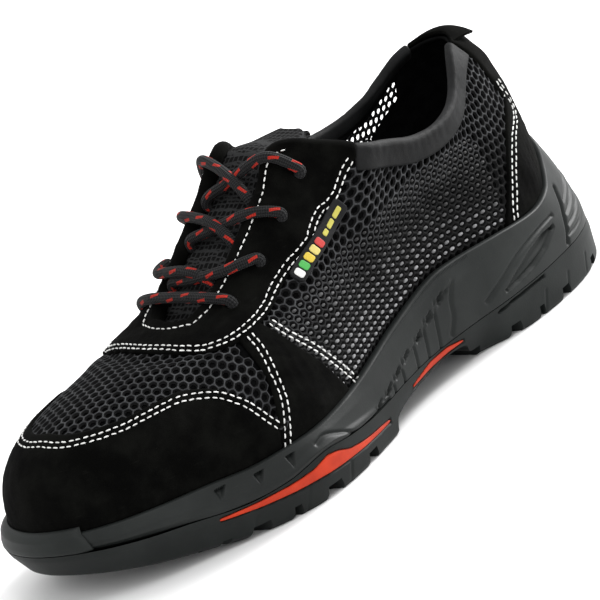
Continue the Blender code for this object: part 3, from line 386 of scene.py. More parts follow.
def plan_normal(arc):
    """Outward direction in plan."""
    step = 0.01 * BALL_WIDTH
    d = plan_point(arc + step) - plan_point(arc - step)
    n = np.array([-d[1], d[0]])
    return n / np.linalg.norm(n)


def arc_at(station, side):
    """Distance along the plan of a station on the outer (+1) or inner (-1) side."""
    x = station * SHOE_LENGTH
    if side > 0:
        return float(np.interp(x, LOOP[:TOE_INDEX + 1, 0], ARC[:TOE_INDEX + 1]))
    xs = LOOP_CLOSED[TOE_INDEX:, 0][::-1]
    arcs = ARC[TOE_INDEX:][::-1]
    return float(np.interp(x, xs, arcs))


# The upper's own function

RIB_INDEX = {row[0]: i for i, row in enumerate(RIBS)}
HALF = len(RIBS) - 1
TURN = 2 * HALF


def rib_table():
    """Rows of numbers for every rib round the shoe, with the inner side mirrored."""
    rows = []
    for i in range(TURN):
        side = 1 if i <= HALF else -1
        row = RIBS[i if i <= HALF else TURN - i]
        _, foot, inset, tx, ty, tz, out, up, reach, drop = row
        arc = arc_at(foot, side)
        if i == HALF:
            arc = TOE_ARC
        rows.append([
            arc,
            inset * BALL_WIDTH,
            tx * SHOE_LENGTH,
            side * ty * BALL_WIDTH,
            tz * COLLAR_HEIGHT,
            out * BALL_WIDTH,
            up * COLLAR_HEIGHT,
            reach,
            drop * COLLAR_HEIGHT,
        ])
    return np.array(rows)


RIB_VALUES = rib_table()


def rib_values(u):
    """Values of a rib at any place u round the shoe, counted in ribs."""
    u = u % TURN
    i = int(math.floor(u))
    t = u - i
    rows = []
    for k in (-1, 0, 1, 2):
        j = i + k
        row = RIB_VALUES[j % TURN].copy()
        row[0] += PERIMETER * math.floor(j / TURN)
        rows.append(row)
    return bend_through(*rows, t)


def rib_curve(u):
    """The four control points of a rib, from the foot to the top edge."""
    arc, inset, tx, ty, tz, out, up, reach, drop = rib_values(u)
    n = plan_normal(arc)
    edge = plan_point(arc) - n * inset
    foot = np.array([edge[0], edge[1], BED.at(edge[0] / SHOE_LENGTH) + CLEARANCE])
    top = np.array([tx, ty, tz])
    way = np.array([foot[0] - top[0], foot[1] - top[1], 0.0])
    low = foot + np.array([n[0] * out, n[1] * out, up])
    high = top + way * reach - np.array([0.0, 0.0, drop])
    return foot, low, high, top


def upper_point(u, v):
    """Point on the outside of the upper."""
    a, b, c, d = rib_curve(u)
    w = 1 - v
    return w**3 * a + 3 * w * w * v * b + 3 * w * v * v * c + v**3 * d


def upper_normal(u, v):
    e = 0.02
    du = upper_point(u + e, v) - upper_point(u - e, v)
    v0 = max(v - e, 0.0)
    v1 = min(v + e, 1.0)
    dv = upper_point(u, v1) - upper_point(u, v0)
    n = np.cross(dv, du)
    return n / np.linalg.norm(n)


def on_upper(u, v, lift):
    """Point at a distance outside the upper's outer face."""
    return upper_point(u, v) + upper_normal(u, v) * lift


def v_from_top(u, distance):
    """Place on a rib at a distance down from the top edge."""
    steps = 40
    last = upper_point(u, 1.0)
    run = 0.0
    for k in range(steps - 1, -1, -1):
        here = upper_point(u, k / steps)
        piece = np.linalg.norm(here - last)
        if run + piece >= distance:
            return (k + 1 - (distance - run) / piece) / steps
        run += piece
        last = here
    return 0.0


def lip_height(u):
    """Height of the sole's lip beside a rib."""
    x = plan_point(rib_values(u)[0])[0]
    return LIP.at(x / SHOE_LENGTH)


def edge_table(rows, size):
    """A table by place in ribs, read as a function of u, mirrored on the inner side."""
    curve = Profile(rows, size)
    return lambda u: curve.at(min(u % TURN, TURN - u % TURN))


EYESTAY_SPAN = edge_table(EYESTAY_EDGE, EYESTAY_WIDTH)
TOE_CAP_TOP = edge_table(TOE_CAP_EDGE, COLLAR_HEIGHT)
COUNTER_TOP = edge_table(COUNTER_EDGE, COLLAR_HEIGHT)

ORIGIN_X = (GROOVES[ORIGIN_LUG][0] + GROOVES[ORIGIN_LUG + 1][0]) / 2 * SHOE_LENGTH
print("perimeter of the sole in mm:", round(PERIMETER / MM))

# %% [markdown]
# ## The surface as a fine grid
#
# The function is worked out once on a fine grid. Soft troughs and ridges, placed where
# the photo shows the material giving, are pressed into the grid before anything is laid
# on it, so every piece follows the same creases.

# %%
RIB_STEPS = 24
NU = TURN * RIB_STEPS
NV = 96
GRID_U = np.arange(NU) / RIB_STEPS
GRID_V = np.linspace(0.0, 1.0, NV + 1)

# Creases: start and end (u, mm down from the top edge), depth in mm (ridges are negative),
# half width in mm
CREASES = [
    (12.6, 21.0, 14.4, 22.5, 0.7, 3.0),
    (15.0, 24.0, 17.5, 22.0, 0.6, 3.5),
    (17.8, 23.0, 19.8, 20.0, 0.8, 3.0),
    (12.2, 27.0, 15.0, 30.0, -0.5, 4.0),
    (16.5, 29.0, 19.5, 27.0, -0.6, 4.0),
    (11.9, 28.0, 11.7, 44.0, 0.5, 3.0),
    (5.0, 10.0, 7.0, 13.0, 0.8, 4.0),
    (3.2, 14.0, 4.8, 24.0, 0.7, 4.5),
    (6.8, 30.0, 9.0, 42.0, 0.6, 5.0),
    (27.0, 12.0, 25.0, 14.0, 0.9, 4.0),
    (28.6, 16.0, 27.4, 28.0, 0.8, 4.5),
    (23.0, 30.0, 25.0, 42.0, 0.6, 5.0),
    (1.0, 20.0, 2.2, 26.0, 0.5, 4.0),
    (8.6, 12.0, 8.4, 24.0, 0.4, 2.5),
    (9.6, 10.0, 9.5, 22.0, 0.4, 2.5),
    (10.8, 8.0, 10.9, 20.0, 0.4, 2.5),
    (23.4, 8.0, 23.6, 20.0, 0.5, 2.5),
    (22.4, 8.0, 22.5, 20.0, 0.5, 2.5),
    (21.2, 6.0, 21.1, 18.0, 0.5, 2.5),
]


def surface_grid():
    """Points of the upper on the whole grid, in the shoe's own frame."""
    curves = np.array([rib_curve(u) for u in GRID_U])
    w = 1.0 - GRID_V
    basis = np.stack([w**3, 3 * w * w * GRID_V, 3 * w * GRID_V**2, GRID_V**3], axis=1)
    return np.einsum("vk,ukc->uvc", basis, curves)


def grid_normals(points):
    du = np.roll(points, -2, axis=0) - np.roll(points, 2, axis=0)
    dv = np.gradient(points, axis=1)
    n = np.cross(dv, du)
    return n / np.maximum(np.linalg.norm(n, axis=2, keepdims=True), 1e-12)


def down_lengths(points):
    """Distance down each rib from its top edge."""
    steps = np.linalg.norm(np.diff(points, axis=1), axis=2)
    down = np.zeros(points.shape[:2])
    down[:, :-1] = np.cumsum(steps[:, ::-1], axis=1)[:, ::-1]
    return down


P = surface_grid()
N = grid_normals(P)
DOWN = down_lengths(P)


def column_mix(grid, u):
    """One column of a grid at any u."""
    s = (u % TURN) * RIB_STEPS
    i = int(s) % NU
    t = s - int(s)
    return grid[i] * (1 - t) + grid[(i + 1) % NU] * t


def v_down(u, distance):
    """Place v at a distance down from the top edge, for arrays of u and distance."""
    u, distance = np.broadcast_arrays(np.asarray(u, float), np.asarray(distance, float))
    flat = [np.interp(d, column_mix(DOWN, a)[::-1], GRID_V[::-1])
            for a, d in zip(u.ravel(), distance.ravel())]
    return np.array(flat).reshape(u.shape)


def v_high(u, height):
    """Place v at a height above the floor, for arrays."""
    u, height = np.broadcast_arrays(np.asarray(u, float), np.asarray(height, float))
    flat = []
    for a, z in zip(u.ravel(), height.ravel()):
        column = np.maximum.accumulate(column_mix(P, a)[:, 2])
        flat.append(np.interp(z, column, GRID_V))
    return np.array(flat).reshape(u.shape)


def lay(u, v, lift=0.0):
    """Points at a distance outside the upper, for arrays of places."""
    u, v, lift = np.broadcast_arrays(np.asarray(u, float), np.asarray(v, float), np.asarray(lift, float))
    s = np.mod(u, TURN) * RIB_STEPS
    r = np.clip(v, 0.0, 1.0) * NV
    i = np.floor(s).astype(int)
    j = np.minimum(np.floor(r).astype(int), NV - 1)
    a = (s - i)[..., None]
    b = (r - j)[..., None]
    i = i % NU
    k = (i + 1) % NU
    p, n = ((grid[i, j] * (1 - b) + grid[i, j + 1] * b) * (1 - a) + (grid[k, j] * (1 - b) + grid[k, j + 1] * b) * a
            for grid in (P, N))
    return p + unit(n) * lift[..., None]


def press_creases():
    """Push the grid in along each crease."""
    push = np.zeros((NU, NV + 1))
    for u0, d0, u1, d1, depth, half in CREASES:
        share = np.linspace(0.0, 1.0, 25)
        us = u0 + (u1 - u0) * share
        line = lay(us, v_down(us, (d0 + (d1 - d0) * share) * MM))
        bend = np.sin(share * math.pi * 2) * half * 0.35 * MM
        line = line + np.stack([np.zeros(25), np.zeros(25), bend], axis=1)
        gap = np.min(np.linalg.norm(P[:, :, None, :] - line[None, None], axis=3), axis=2)
        push += depth * MM * np.exp(-(gap / (half * MM))**2)
    return push


PUSH = press_creases()
edge_fade = np.minimum(1.0, DOWN / 0.004)
P = P - N * (PUSH * edge_fade)[..., None]
N = grid_normals(P)
DOWN = down_lengths(P)
LIP_Z = np.array([lip_height(u) for u in GRID_U])


def lip_z(u):
    s = np.mod(np.asarray(u, float), TURN) * RIB_STEPS
    return np.interp(s, np.arange(NU + 1), np.append(LIP_Z, LIP_Z[0]))


print("grid:", P.shape, "deepest crease in mm:", round(float(PUSH.max()) / MM, 2))

# %%
MATS = {}
KEPT = {}
ORIGIN = np.array([ORIGIN_X, 0.0, 0.0])
SIDES = ((1, "outer"), (-1, "inner"))


def to_side(u, side):
    return u if side > 0 else TURN - u


def folded(u):
    """Places counted from the heel on both sides."""
    return np.minimum(u, TURN - u)


def add(name, data):
    """New object in the scene."""
    item = bpy.data.objects.new(name, data)
    bpy.context.scene.collection.objects.link(item)
    return item


def face_outward(mesh):
    bm = bmesh.new()
    bm.from_mesh(mesh)
    bmesh.ops.recalc_face_normals(bm, faces=bm.faces)
    bm.to_mesh(mesh)
    bm.free()


def point_tree(points):
    """Search tree over points."""
    tree = KDTree(len(points))
    for k, p in enumerate(points):
        tree.insert(p, k)
    tree.balance()
    return tree


def keep(item, slot, nodes=(), material=None, smooth=True):
    """Dress a finished object and enter it."""
    item.data.materials.clear()
    item.data.materials.append(MATS[material or slot])
    if smooth:
        item.data.shade_smooth()
    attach(item, "root")
    if nodes:
        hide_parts(*nodes)
    KEPT[item.name.split(".")[0]] = item
    return item


def make_mesh(name, points, faces, uvs=None):
    """Object from points in the shoe's frame, with faces turned outward."""
    mesh = bpy.data.meshes.new(name)
    points = np.asarray(points, float).reshape(-1, 3) - ORIGIN
    mesh.from_pydata(points.tolist(), [], faces)
    if uvs is not None:
        layer = mesh.uv_layers.new(name="UVMap")
        index = np.zeros(len(mesh.loops), int)
        mesh.loops.foreach_get("vertex_index", index)
        layer.data.foreach_set("uv", np.asarray(uvs, np.float32)[index].ravel())
    mesh.validate()
    face_outward(mesh)
    return add(name, mesh)


def grid_faces(n, m, start=0, wrap=False):
    """Quads of a grid of n by m points, listed row by row."""
    i, j = np.meshgrid(np.arange(n if wrap else n - 1), np.arange(m - 1), indexing="ij")
    k = (i + 1) % n
    quads = np.stack([i * m + j, k * m + j, k * m + j + 1, i * m + j + 1], axis=-1)
    return quads.reshape(-1, 4) + start


def shell(name, outer, inner, wrap=False):
    """Closed skin between two grids of the same shape."""
    n, m = outer.shape[:2]
    size = n * m
    faces = [grid_faces(n, m, 0, wrap), grid_faces(n, m, size, wrap)[:, ::-1]]
    i = np.arange(n if wrap else n - 1)
    k = (i + 1) % n
    for j in (0, m - 1):
        faces.append(np.stack([i * m + j, k * m + j, size + k * m + j, size + i * m + j], axis=-1))
    if not wrap:
        j = np.arange(m - 1)
        for row in (0, n - 1):
            a = row * m + j
            faces.append(np.stack([a, a + 1, size + a + 1, size + a], axis=-1))
    points = np.concatenate([outer.reshape(-1, 3), inner.reshape(-1, 3)])
    return make_mesh(name, points, np.concatenate(faces).tolist())


def ends_close(count, pull=0.6):
    """Shares from 0 to 1 that lie closer together near both ends."""
    t = np.linspace(0.0, 1.0, count)
    return t * (1 - pull) + (0.5 - 0.5 * np.cos(math.pi * t)) * pull


def edge_distance(grid):
    """Distance of each grid point to the nearest side of its grid."""
    along = np.linalg.norm(np.diff(grid, axis=1), axis=2)
    a = np.zeros(grid.shape[:2])
    a[:, 1:] = np.cumsum(along, axis=1)
    across = np.linalg.norm(np.diff(grid, axis=0), axis=2)
    b = np.zeros(grid.shape[:2])
    b[1:] = np.cumsum(across, axis=0)
    return a, a[:, -1:] - a, b, b[-1:] - b


def soft_noise(points, size, seed):
    """Slow, smooth, repeatable unevenness between -1 and 1."""
    rng = np.random.default_rng(seed)
    total = np.zeros(points.shape[:-1])
    for _ in range(6):
        way = rng.normal(size=3)
        way = way / np.linalg.norm(way) * 2 * math.pi / size * rng.uniform(0.6, 1.6)
        total += np.sin(points @ way + rng.uniform(0, 6.28))
    return total / 3.0


def smooth_line(rows, count):
    """Even curve through rows of numbers."""
    rows = np.asarray(rows, float)
    pts = np.vstack([2 * rows[0] - rows[1], rows, 2 * rows[-1] - rows[-2]])
    out = []
    for s in np.linspace(0, len(rows) - 1 - 1e-9, count):
        i = int(s)
        t = s - i
        out.append(bend_through(*pts[i:i + 4], t))
    return np.array(out)


def even(line, step):
    """The same line with points a set distance apart, and its directions."""
    run = run_along(line[:, :3])
    pts = columns_at(np.linspace(0.0, run[-1], max(2, int(run[-1] / step) + 1)), run, line)
    return pts, unit(np.gradient(pts[:, :3], axis=0))


# %% [markdown]
# ## Materials
#
# Three shader groups do the work that several finishes share: a two-scale grain that gives
# a bumped normal, a mottle that varies a colour, and a film of dust with small scuffs. The
# finishes themselves are the shoe's suede, knit, lining, rubber, thread and braid.

# %%
def group(name, inputs, outputs):
    tree = bpy.data.node_groups.new(name, "ShaderNodeTree")
    for label, kind, value in inputs:
        socket = tree.interface.new_socket(name=label, in_out="INPUT", socket_type="NodeSocket" + kind)
        if value is not None:
            socket.default_value = value
    for label, kind in outputs:
        tree.interface.new_socket(name=label, in_out="OUTPUT", socket_type="NodeSocket" + kind)
    return tree, tree.nodes.new("NodeGroupInput"), tree.nodes.new("NodeGroupOutput")


def feed(tree, node, **values):
    """Give a node's sockets numbers, colours or links. In a label _ stands for a space."""
    for label, value in values.items():
        socket = node.inputs[label.replace("_", " ")]
        if isinstance(value, tuple):
            socket.default_value = (*value, 1.0)
        elif isinstance(value, (int, float)):
            socket.default_value = value
        else:
            tree.links.new(value, socket)
    return node


def noise(tree, vector, scale, detail, rough):
    node = tree.nodes.new("ShaderNodeTexNoise")
    return feed(tree, node, Vector=vector, Scale=scale, Detail=detail, Roughness=rough).outputs["Fac"]


def calc(tree, kind, a, b=None, clamp=False):
    node = tree.nodes.new("ShaderNodeMath")
    node.operation = kind
    node.use_clamp = clamp
    for socket, value in zip(node.inputs, (a, b)):
        if isinstance(value, (int, float)):
            socket.default_value = value
        elif value is not None:
            tree.links.new(value, socket)
    return node.outputs[0]


def ramp(tree, value, low, high):
    """Smooth step from 0 at low to 1 at high."""
    node = tree.nodes.new("ShaderNodeMapRange")
    node.interpolation_type = "SMOOTHSTEP"
    return feed(tree, node, From_Min=low, From_Max=high, Value=value).outputs[0]


def blend(tree, mask, a, b):
    node = tree.nodes.new("ShaderNodeMix")
    node.data_type = "RGBA"
    tree.links.new(mask, node.inputs["Factor"])
    for socket, value in zip(node.inputs[6:8], (a, b)):
        if isinstance(value, tuple):
            socket.default_value = (*value, 1.0)
        else:
            tree.links.new(value, socket)
    return node.outputs[2]


def emboss(tree, height, distance, target):
    """Bumped normal from a height."""
    node = feed(tree, tree.nodes.new("ShaderNodeBump"), Distance=distance, Height=height)
    tree.links.new(node.outputs[0], target)


def grain_group():
    tree, start, end = group("Grain", [
        ("Vector", "Vector", None),
        ("Fine", "Float", 2500.0),
        ("Coarse", "Float", 300.0),
        ("Height", "Float", 0.0001),
    ], [("Normal", "Vector"), ("Mask", "Float")])
    fine = noise(tree, start.outputs["Vector"], start.outputs["Fine"], 2.0, 0.6)
    coarse = noise(tree, start.outputs["Vector"], start.outputs["Coarse"], 3.0, 0.5)
    mixed = calc(tree, "ADD", calc(tree, "MULTIPLY", fine, 0.6), calc(tree, "MULTIPLY", coarse, 0.6))
    emboss(tree, mixed, start.outputs["Height"], end.inputs["Normal"])
    tree.links.new(mixed, end.inputs["Mask"])
    return tree


def mottle_group():
    tree, start, end = group("Mottle", [
        ("Vector", "Vector", None),
        ("Dark", "Color", None),
        ("Light", "Color", None),
        ("Scale", "Float", 40.0),
    ], [("Color", "Color"), ("Mask", "Float")])
    slow = noise(tree, start.outputs["Vector"], start.outputs["Scale"], 4.0, 0.6)
    mask = ramp(tree, slow, 0.35, 0.7)
    colour = blend(tree, mask, start.outputs["Dark"], start.outputs["Light"])
    tree.links.new(colour, end.inputs["Color"])
    tree.links.new(mask, end.inputs["Mask"])
    return tree


def wear_group():
    tree, start, end = group("Wear", [
        ("Vector", "Vector", None),
        ("Color", "Color", None),
        ("Dust", "Color", None),
        ("Amount", "Float", 0.3),
    ], [("Color", "Color"), ("Mask", "Float")])
    long = tree.nodes.new("ShaderNodeMapping")
    long.inputs["Scale"].default_value = (1.0, 1.0, 9.0)
    long.inputs["Rotation"].default_value = (0.3, 0.5, 0.2)
    tree.links.new(start.outputs["Vector"], long.inputs["Vector"])
    scuffs = ramp(tree, noise(tree, long.outputs[0], 150.0, 2.0, 0.6), 0.66, 0.76)
    film = ramp(tree, noise(tree, start.outputs["Vector"], 28.0, 5.0, 0.65), 0.45, 0.8)
    both = calc(tree, "MAXIMUM", calc(tree, "MULTIPLY", scuffs, 0.6), calc(tree, "MULTIPLY", film, 0.5))
    mask = calc(tree, "MULTIPLY", both, start.outputs["Amount"], True)
    tree.links.new(blend(tree, mask, start.outputs["Color"], start.outputs["Dust"]), end.inputs["Color"])
    tree.links.new(mask, end.inputs["Mask"])
    return tree


GROUPS = {"Grain": grain_group(), "Mottle": mottle_group(), "Wear": wear_group()}


def use(tree, name, **values):
    """First output of a shared group inside a material."""
    node = tree.nodes.new("ShaderNodeGroup")
    node.node_tree = GROUPS[name]
    return feed(tree, node, **values).outputs[0]


def finish(name, rough, sheen=0.0, specular=0.5):
    """New material with its Principled shader."""
    mat = bpy.data.materials.new(name)
    mat.use_nodes = True
    tree = mat.node_tree
    shader = tree.nodes["Principled BSDF"]
    feed(tree, shader, Roughness=rough, Sheen_Weight=sheen, Sheen_Roughness=0.5, Specular_IOR_Level=specular)
    place = tree.nodes.new("ShaderNodeTexCoord")
    MATS[name] = mat
    return tree, shader, place.outputs["Object"]


def grain(tree, shader, vector, fine, coarse, height):
    """Give the shader the grain's normal."""
    normal = use(tree, "Grain", Vector=vector, Fine=fine, Coarse=coarse, Height=height)
    tree.links.new(normal, shader.inputs["Normal"])


def plain(name, dark, light, scale, fine, coarse, height, rough, dust=None, amount=0.0, **more):
    """A finish made of mottle, grain and, where it is named, dust."""
    tree, shader, vector = finish(name, rough, **more)
    colour = use(tree, "Mottle", Vector=vector, Dark=dark, Light=light, Scale=scale)
    if dust:
        colour = use(tree, "Wear", Vector=vector, Color=colour, Dust=dust, Amount=amount)
    grain(tree, shader, vector, fine, coarse, height)
    tree.links.new(colour, shader.inputs["Base Color"])


SUEDE_DARK = (0.0010, 0.0010, 0.0009)
SUEDE_LIGHT = (0.0034, 0.0035, 0.0030)
RUBBER_DARK = (0.0078, 0.0092, 0.0088)
RUBBER_LIGHT = (0.0130, 0.0150, 0.0144)
DUST = (0.060, 0.062, 0.058)

plain("suede", SUEDE_DARK, SUEDE_LIGHT, 70.0, 2600.0, 420.0, 0.00025, 0.96,
      dust=(0.009, 0.009, 0.008), amount=0.4, sheen=0.004, specular=0.03)
plain("lining", (0.0010, 0.0010, 0.0011), (0.0030, 0.0031, 0.0033), 200.0, 3500.0, 700.0, 0.0002, 0.95,
      specular=0.05)
plain("binding", (0.0024, 0.0025, 0.0026), (0.0085, 0.0088, 0.0092), 60.0, 5000.0, 900.0, 0.0002, 0.60,
      specular=0.12)
plain("outsole", RUBBER_DARK, RUBBER_LIGHT, 30.0, 1800.0, 220.0, 0.00010, 0.55,
      dust=DUST, amount=0.16, specular=0.12)
plain("midsole", RUBBER_DARK, RUBBER_LIGHT, 30.0, 1800.0, 220.0, 0.00008, 0.50,
      dust=DUST, amount=0.16, specular=0.15)
plain("bumper", (0.0095, 0.0112, 0.0106), (0.0150, 0.0174, 0.0166), 35.0, 1800.0, 260.0, 0.00008, 0.52,
      dust=DUST, amount=0.16, specular=0.15)
plain("insert", (0.34, 0.022, 0.006), (0.47, 0.036, 0.010), 50.0, 1800.0, 260.0, 0.00006, 0.45,
      dust=(0.22, 0.06, 0.03), amount=0.3, specular=0.15)
plain("thread", (0.62, 0.62, 0.60), (0.86, 0.86, 0.84), 300.0, 7000.0, 2400.0, 0.0002, 0.7, sheen=0.1)
plain("insole", (0.010, 0.010, 0.011), (0.022, 0.022, 0.024), 90.0, 3800.0, 1400.0, 0.0002, 0.92, specular=0.2)
plain("tag", (0.0035, 0.0037, 0.0040), (0.0080, 0.0084, 0.0090), 120.0, 4200.0, 900.0, 0.0001, 0.6, specular=0.15)


def lace_finish():
    """Round braid: slanting plaits from the cord's own lengthwise coordinates, with painted shade between the
    plaits and red flecks.
    """
    tree, shader, _ = finish("lace", 0.7, sheen=0.03, specular=0.12)
    uv = tree.nodes.new("ShaderNodeUVMap")
    uv.uv_map = "UVMap"
    split = tree.nodes.new("ShaderNodeSeparateXYZ")
    tree.links.new(uv.outputs[0], split.inputs[0])
    around, along = split.outputs[0], split.outputs[1]
    plait = None
    for hand in (1.0, -1.0):
        slant = calc(tree, "ADD", calc(tree, "MULTIPLY", around, 6.0 * hand), calc(tree, "MULTIPLY", along, 620.0))
        wave = calc(tree, "SINE", calc(tree, "MULTIPLY", slant, 2 * math.pi))
        plait = wave if plait is None else calc(tree, "MULTIPLY", plait, wave)
    height = calc(tree, "ADD", calc(tree, "MULTIPLY", plait, 0.5), 0.5)
    emboss(tree, height, 0.0006, shader.inputs["Normal"])
    # Painted light: the plaits are painted lighter on top and darker in the grooves, by the height that bumps them.
    base = blend(tree, height, (0.0022, 0.0022, 0.0024), (0.017, 0.017, 0.018))
    step = calc(tree, "FRACT", calc(tree, "MULTIPLY", along, 125.0))
    turn = calc(tree, "ADD", calc(tree, "MULTIPLY", around, 3.0), calc(tree, "MULTIPLY", along, 62.5))
    turn = calc(tree, "FRACT", turn)
    length = calc(tree, "LESS_THAN", step, 0.45)
    width = calc(tree, "LESS_THAN", turn, 0.27)
    fleck = calc(tree, "MULTIPLY", length, width)
    tree.links.new(blend(tree, fleck, base, (0.36, 0.018, 0.010)), shader.inputs["Base Color"])


def tongue_finish():
    """Padded mesh: round holes in staggered rows, darker inside."""
    tree, shader, vector = finish("tongue", 0.85, specular=0.08)
    cells = tree.nodes.new("ShaderNodeTexVoronoi")
    cells.feature = "DISTANCE_TO_EDGE"
    feed(tree, cells, Scale=420.0, Randomness=0.25, Vector=vector)
    strand = ramp(tree, cells.outputs["Distance"], 0.22, 0.08)
    emboss(tree, strand, 0.0006, shader.inputs["Normal"])
    low = use(tree, "Mottle", Vector=vector, Dark=(0.001, 0.001, 0.001), Light=(0.003, 0.003, 0.003), Scale=90.0)
    tree.links.new(blend(tree, strand, low, (0.021, 0.0215, 0.022)), shader.inputs["Base Color"])


def print_finish():
    """Small coloured squares of the tag: the colour is stored on each square."""
    tree, shader, vector = finish("tag_print", 0.55)
    ink = tree.nodes.new("ShaderNodeVertexColor")
    ink.layer_name = "ink"
    wear = use(tree, "Wear", Vector=vector, Color=ink.outputs["Color"], Dust=(0.12, 0.12, 0.12), Amount=0.5)
    tree.links.new(wear, shader.inputs["Base Color"])
    grain(tree, shader, vector, 4200.0, 900.0, 0.0001)


def knit_finish():
    """Net of strands: a painted highlight along the crest, painted shade down in the holes."""
    tree, shader, vector = finish("knit", 0.72, specular=0.12)
    crest = tree.nodes.new("ShaderNodeAttribute")
    crest.attribute_name = "crest"
    pale = use(tree, "Mottle", Vector=vector, Dark=(0.020, 0.0205, 0.022), Light=(0.058, 0.060, 0.063), Scale=260.0)
    grain(tree, shader, vector, 6000.0, 1500.0, 0.00025)
    # Painted light: the strands are pale on their crest and dark down in the holes.
    mask = ramp(tree, crest.outputs["Fac"], 0.25, 0.95)
    tree.links.new(blend(tree, mask, (0.0025, 0.0025, 0.0027), pale), shader.inputs["Base Color"])


def bump_finish():
    """Soft tufts in the knit's lower holes: each carries its own paleness."""
    tree, shader, vector = finish("bumps", 0.6, specular=0.3)
    pale = tree.nodes.new("ShaderNodeAttribute")
    pale.attribute_name = "pale"
    tuft = use(tree, "Mottle", Vector=vector, Dark=(0.16, 0.16, 0.165), Light=(0.34, 0.34, 0.35), Scale=700.0)
    grain(tree, shader, vector, 5000.0, 1500.0, 0.0003)
    colour = blend(tree, pale.outputs["Fac"], (0.006, 0.006, 0.006), tuft)
    tree.links.new(colour, shader.inputs["Base Color"])


knit_finish()
bump_finish()
lace_finish()
tongue_finish()
print_finish()
print("finishes:", sorted(MATS))


# %% [markdown]
# ## Stitch lines
#
# Every seam is a short list of places on the surface. The lines are worked out first,
# because the panels are drawn down a little along them. Each line keeps its points and
# the way out of the surface, for the threads that come later.

# %%
STITCH_PITCH = 2.8 * MM
STITCH_LENGTH = 1.95 * MM
ROW_GAP = 2.3 * MM
THREAD_RADIUS = 0.30 * MM
SEAM_STEP = 0.35 * MM
PANEL_LIFT = 0.0017
SEAMS = []
# Outer edge of the eyestay: place in ribs, mm down from the throat
STAY_EDGE = [
    (7.0, 2.0), (7.2, 9.2), (7.5, 22.0), (7.8, 28.6), (8.2, 31.8), (8.7, 29.4), (9.3, 25.6), (10.0, 21.8),
    (10.5, 20.9), (11.3, 23.2), (11.8, 24.4), (12.2, 23.8), (13.3, 20.4), (14.5, 18.5), (16.0, 18.0),
]
STAY_SPAN = edge_table(STAY_EDGE, MM)


def seam(us, vs, lift, rows=2):
    """One or two rows of stitches along a line on the surface."""
    line = lay(us, vs, lift)
    out = unit(lay(us, vs, lift + MM) - line)
    pts, ways = even(np.hstack([line, out]), SEAM_STEP)
    out = unit(pts[:, 3:])
    across = np.cross(out, ways)
    for offset in (0.0,) if rows == 1 else (-ROW_GAP / 2, ROW_GAP / 2):
        SEAMS.append((pts[:, :3] + across * offset, out))


CAP_FROM = 11.97
cap_u = np.linspace(CAP_FROM, TURN - CAP_FROM, 500)
cap_edge = np.array([TOE_CAP_TOP(u) for u in cap_u])
seam(cap_u, v_high(cap_u, cap_edge - 0.0022), PANEL_LIFT)
# Seams on both sides: place in ribs, and mm down from the top edge or up from the floor
SIDE_SEAMS = [
    (v_down, [(11.62, 24.6), (11.66, 33.0), (11.72, 41.8), (11.80, 53.0), (11.98, 68.0)]),
    (v_down, [(11.25, 25.0), (11.22, 32.0), (11.08, 40.0), (10.75, 53.0), (10.25, 66.0)]),
    (v_high, [(1.30, 82.0), (1.32, 76.0), (1.36, 69.6), (2.05, 61.5), (2.62, 46.0), (2.86, 33.0)]),
]
for side, _ in SIDES:
    for place, rows in SIDE_SEAMS:
        line = smooth_line(rows, 160)
        us = to_side(line[:, 0], side)
        seam(us, place(us, line[:, 1] * MM), PANEL_LIFT)
stay_u = np.linspace(7.12, TURN - 7.12, 900)
stay_width = np.array([STAY_SPAN(u) for u in stay_u])
seam(stay_u, v_down(stay_u, stay_width - 0.0024), PANEL_LIFT + 0.0003)
inner_u = np.linspace(7.9, TURN - 7.9, 700)
fold = folded(inner_u)
inner_down = np.interp(fold, [7.9, 8.4, 11.0, 11.6, 12.2, 16.0], [2.6, 1.7, 1.7, 3.4, 4.0, 3.6]) * MM
seam(inner_u, v_down(inner_u, inner_down), PANEL_LIFT + 0.0003, rows=1)

SEAM_TREE = point_tree(np.concatenate([line[::2] for line, _ in SEAMS]))


def seam_dent(points, depth=0.00045, reach=0.0011):
    """How far the thread draws the panel down at each point."""
    flat = points.reshape(-1, 3)
    gap = np.array([SEAM_TREE.find(p)[2] for p in flat])
    return (depth * np.exp(-(gap / reach)**2)).reshape(points.shape[:-1])


print("seams:", len(SEAMS), "thread in metres:", round(sum(len(a) for a, _ in SEAMS) * SEAM_STEP, 2))

# %% [markdown]
# ## Suede panels
#
# Each panel is a closed skin with rounded, slightly uneven edges. Its face puffs a little
# between seams and is drawn down along them. The eyestay and the collar bands carry on
# over the top edge, as turned leather does.

